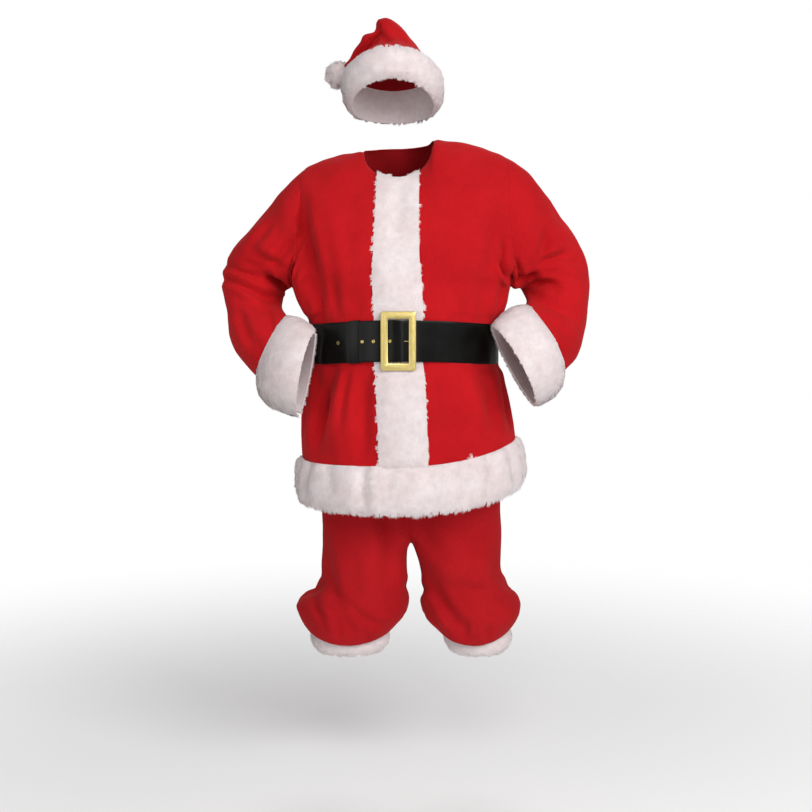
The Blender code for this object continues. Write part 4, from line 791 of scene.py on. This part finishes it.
beltSettings = {
    "height": 0.098, "thickness": 0.0025, "step": 0.006, "tip": 0.016, "cut": (1.55, 0.098),
    "wave": {"depth": 0.0013, "length": 0.032},
    # the rounded edges: heights, and shares of the thickness there; then the rows between them
    "round": ((0, 0.0006, 0.002), (0.35, 0.8, 1.0)), "margin": 0.008, "rows": 9,
    # the jacket's ring under the belt: middle, sides, front and back, with the belt's lower edge there
    "ring": {"middleX": -0.008, "rightX": -0.228, "leftX": 0.235, "frontY": -0.196, "backY": 0.146,
             "frontZ": 1.072, "sideZ": 1.049, "backZ": 1.022, "bulge": (0.58, 0.60)},
    "pin": {"lift": 0.0099, "reach": 0.00305, "start": -0.0075},
    "smoothing": (0.12, 0.22, 0.32, 0.22, 0.12),
    # distances from the middle of the front towards the wearer's left, and lifts off the jacket
    "under": ((-12, 6.95), (-22, 7.3), (-33, 7.4), (-46, 7.2), (-58, 6.3), (-74, 4.6), (-84, 4.0),
              (-100, 4.0), (-124, 4.0), (-140, 2.6), (-156, 1.55)),
    "over": ((104, 1.55), (88, 2.4), (74, 4.4), (58, 7.0), (46, 9.4), (38, 10.2), (24, 10.3), (13, 14.6),
             (9, 15.7), (4, 15.9), (-3, 15.9), (-9, 15.7), (-13, 14.6), (-24, 10.3), (-38, 10.2),
             (-46, 10.1), (-58, 9.2), (-74, 7.5), (-84, 6.9), (-100, 6.9), (-124, 6.9), (-140, 5.5),
             (-156, 4.4), (-244, 4.4)),
}


# The jacket's ring at the belt's lower edge, from the middle of the front round by the wearer's left.
def beltRing(ring):
    share = np.linspace(0, 1, 60)[:, None]
    quarters = []
    for flank, facing, forward in (("left", "front", True), ("left", "back", False),
                                   ("right", "back", True), ("right", "front", False)):
        sideX, endY, endZ = ring[flank + "X"], ring[facing + "Y"], ring[facing + "Z"]
        start = np.array([ring["middleX"], endY, endZ])
        end = np.array([sideX, 0.0, ring["sideZ"]])
        handles = (start + (ring["bulge"][0] * (sideX - ring["middleX"]), 0, 0),
                   end + (0, ring["bulge"][1] * endY, 0))
        curve = ((1 - share) ** 3 * start + 3 * (1 - share) ** 2 * share * handles[0]
                 + 3 * (1 - share) * share**2 * handles[1] + share**3 * end)
        quarters.append(curve[:-1] if forward else curve[::-1][:-1])
    points = np.concatenate(quarters + [quarters[0][:1]])
    points[:, 2] += floorZ
    runs = np.diff(points, axis=0)
    normals = unit(np.stack([runs[:, 1], -runs[:, 0], np.zeros(len(runs))], axis=1))
    normals = unit(normals + np.roll(normals, 1, axis=0))
    reached = np.concatenate([[0], np.cumsum(np.linalg.norm(runs[:, :2], axis=1))])
    return points, np.concatenate([normals, normals[:1]]), reached


ringPoints, ringNormals, ringReached = beltRing(beltSettings["ring"])


def onRing(arcs, lifts):
    arcs = np.mod(arcs, ringReached[-1])
    place = np.stack([np.interp(arcs, ringReached, ringPoints[:, k]) for k in range(3)], axis=1)
    normal = unit(np.stack([np.interp(arcs, ringReached, ringNormals[:, k]) for k in range(3)], axis=1))
    return place + normal * np.reshape(lifts, (-1, 1)), normal


def strapPath(settings):
    around = ringReached[-1]
    step = settings["step"]
    pin = settings["pin"]
    low, _ = onRing(np.array([0.0]), np.array([0.0]))
    pinAt = low[0] + (0, -pin["lift"], 0)
    fold = [pinAt + (pin["start"], -pin["reach"], 0)]
    fold += [pinAt + (pin["reach"] * math.cos(turn), pin["reach"] * math.sin(turn), 0)
             for turn in np.linspace(-math.pi / 2, math.pi / 2, 9)]
    under = np.array(settings["under"]) / 1000
    over = np.array(settings["over"]) / 1000
    ahead = np.arange(under[0, 0], over[0, 0] - around, -step)
    lifts = np.interp(-ahead, -under[:, 0], under[:, 1])
    first, _ = onRing(ahead, lifts)
    back = np.arange(over[0, 0], over[-1, 0], -step / 2)
    lifts = np.interp(-back, -over[:, 0], over[:, 1])
    smooth = np.convolve(np.pad(lifts, 2, mode="edge"), settings["smoothing"], mode="valid")
    second, _ = onRing(back, smooth)
    return np.concatenate([fold, first, second])


path = strapPath(beltSettings)
run = np.gradient(path, axis=0) * (1, 1, 0)
outwards = unit(np.stack([-run[:, 1], run[:, 0], np.zeros(len(run))], axis=1))
steps = np.linalg.norm(np.diff(path, axis=0), axis=1)
print("   strap length", round(float(steps.sum()), 3))
left = np.concatenate([np.cumsum(steps[::-1])[::-1], [0]])
clip = np.maximum(0, beltSettings["tip"] - left) ** 2 / beltSettings["tip"]
rounded, shares = map(np.array, beltSettings["round"])
rows, margin, top = beltSettings["rows"], beltSettings["margin"], beltSettings["height"]
heights = np.concatenate([rounded, np.linspace(margin, top - margin, rows), top - rounded[::-1]])
halves = np.concatenate([shares, np.ones(rows), shares[::-1]]) * beltSettings["thickness"] / 2
section = len(heights) * 2
strapPoints = []
for i, place in enumerate(path):
    for side in (1, -1):
        for height, half in zip(heights[::side], halves[::side]):
            level = clip[i] + height * (1 - 2 * clip[i] / beltSettings["height"])
            along = left[i] / beltSettings["wave"]["length"]
            wave = beltSettings["wave"]["depth"] * noise.noise(Vector((along, level * 5, 4.0)))
            strapPoints.append(place + (0, 0, level) + outwards[i] * (side * half + wave))
strapFaces = []
for i in range(len(path) - 1):
    for k in range(section):
        n = (k + 1) % section
        strapFaces.append((i * section + k, (i + 1) * section + k, (i + 1) * section + n, i * section + n))
strapFaces.append(tuple(range(section)))
strapFaces.append(tuple(range((len(path) - 1) * section, len(path) * section))[::-1])
strap = newPiece("belt_strap_vinyl", np.array(strapPoints), strapFaces, (blackVinyl,), sharp=55)
outside = bmesh.new()
outside.from_mesh(strap.data)
bmesh.ops.recalc_face_normals(outside, faces=outside.faces)
outside.to_mesh(strap.data)
outside.free()
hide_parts("belt_strap")


# A finer copy of a small hard node: welded, its edges rounded off, and subdivided where it is round.
# A ring's inner edge can be eased out to a bore, so that its hole shows.
def finerCopy(name, nodeName, look, bevel, levels, sharp=35, bore=0):
    made = bmesh.new()
    made.from_mesh(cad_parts[nodeName].data)
    bmesh.ops.remove_doubles(made, verts=made.verts, dist=1e-5)
    bmesh.ops.dissolve_limit(made, angle_limit=math.radians(1), verts=made.verts, edges=made.edges)
    if bore:
        places = np.array([vert.co for vert in made.verts])
        places -= places.mean(axis=0)
        axis = np.linalg.svd(places)[2][2]
        for vert, place in zip(made.verts, places):
            out = place - axis * (place @ axis)
            away = np.linalg.norm(out)
            vert.co += Vector(out / away * max(bore - away, 0))
    if bevel:
        edges = [edge for edge in made.edges if edge.calc_face_angle(0) > math.radians(18)]
        bmesh.ops.bevel(made, geom=edges, offset=bevel, segments=2, profile=0.6,
                        affect="EDGES", clamp_overlap=True)
    mesh = meshFrom(made, name)
    dress(mesh, (look,), sharp)
    piece = addObject(name, mesh)
    if levels:
        rounder = piece.modifiers.new("round", "SUBSURF")
        rounder.levels = rounder.render_levels = levels
    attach(piece, "root")
    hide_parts(nodeName)
    return piece


finerCopy("belt_buckle_frame", "belt_buckle", brass, 0.00045, 0)
finerCopy("belt_prong_wire", "belt_prong", brass, 0, 1, 80)
finerCopy("belt_keeper_loop", "belt_keeper", blackVinyl, 0.0006, 0)
for number in (1, 2, 3, 4):
    eyelet = f"belt_eyelet_{number}"
    finerCopy(eyelet + "_ring", eyelet, brass, 0, 1, 80, bore=0.0028)
print("belt made")


stageSettings = {
    "radius": 6.0, "fadeFrom": 0.5, "fadeTo": 2.6, "floor": "#F7F7F7",
    # the focal length and the picture's width are in pixels, the sensor's width in millimetres
    "camera": {"place": (0.010, -4.2, -0.06), "down": 7.6, "focal": 1708, "width": 812, "sensor": 36},
    "world": 0.3, "lampsAim": (0, 0, -0.5),
    # place, size and power of each soft box
    "lamps": (("front", (0.4, -4.2, 2.3), (2.0, 2.0), 60), ("key", (2.4, -3.0, 1.2), (2.2, 2.2), 99),
              ("strip", (1.1, -4.0, -0.3), (0.3, 2.6), 20), ("fill", (-2.6, -2.4, -0.3), (2.0, 2.0), 23),
              ("back", (0.4, 3.2, 2.2), (2.0, 2.0), 45)),
}


def floorMaterial(name, look):
    made, tree, place = newMaterial(name)
    reach = addNode(tree, "VectorMath", {"operation": "LENGTH"}, _0=place)
    fade = addNode(tree, "MapRange",
                   {"From Min": look["fadeFrom"], "From Max": look["fadeTo"],
                    "interpolation_type": "SMOOTHSTEP"}, Value=reach.outputs["Value"])
    paper = addNode(tree, "BsdfDiffuse", {"Color": linear(look["floor"])})
    clear = addNode(tree, "BsdfTransparent", {})
    both = addNode(tree, "MixShader", {}, Fac=fade, _1=paper, _2=clear)
    addNode(tree, "OutputMaterial", {}, Surface=both)
    return made


disc = bmesh.new()
bmesh.ops.create_circle(disc, cap_ends=True, segments=96, radius=stageSettings["radius"])
floorMesh = meshFrom(disc, "studio_floor")
floorMesh.materials.append(floorMaterial("pale_paper", stageSettings))
floor = addObject("studio_floor", floorMesh)
floor.location = (0, 0, floorZ)

world = bpy.data.worlds.new("studio")
bpy.context.scene.world = world
world.use_nodes = True
world.node_tree.nodes.clear()
seen = addNode(world.node_tree, "Background", {"Color": (1, 1, 1, 1), "Strength": 1.0})
cast = addNode(world.node_tree, "Background", {"Color": (1, 1, 1, 1), "Strength": stageSettings["world"]})
rays = addNode(world.node_tree, "LightPath", {})
both = addNode(world.node_tree, "MixShader", {}, Fac=rays.outputs["Is Camera Ray"], _1=cast, _2=seen)
addNode(world.node_tree, "OutputWorld", {}, Surface=both)

for name, place, size, power in stageSettings["lamps"]:
    light = bpy.data.lights.new(name, "AREA")
    light.shape, light.energy = "RECTANGLE", power
    light.size, light.size_y = size
    lamp = addObject(name, light)
    lamp.location = place
    aim = Vector(stageSettings["lampsAim"]) - Vector(place)
    lamp.rotation_euler = aim.to_track_quat("-Z", "Y").to_euler()

cameraSettings = stageSettings["camera"]
lens = bpy.data.cameras.new("camera")
lens.sensor_width = cameraSettings["sensor"]
lens.lens = cameraSettings["focal"] / cameraSettings["width"] * cameraSettings["sensor"]
camera = addObject("camera", lens)
camera.location = cameraSettings["place"]
camera.rotation_euler = (math.radians(90 - cameraSettings["down"]), 0, 0)
bpy.context.scene.camera = camera
bpy.context.scene.view_settings.view_transform = "Standard"
print("studio made")

bpy.context.view_layer.update()
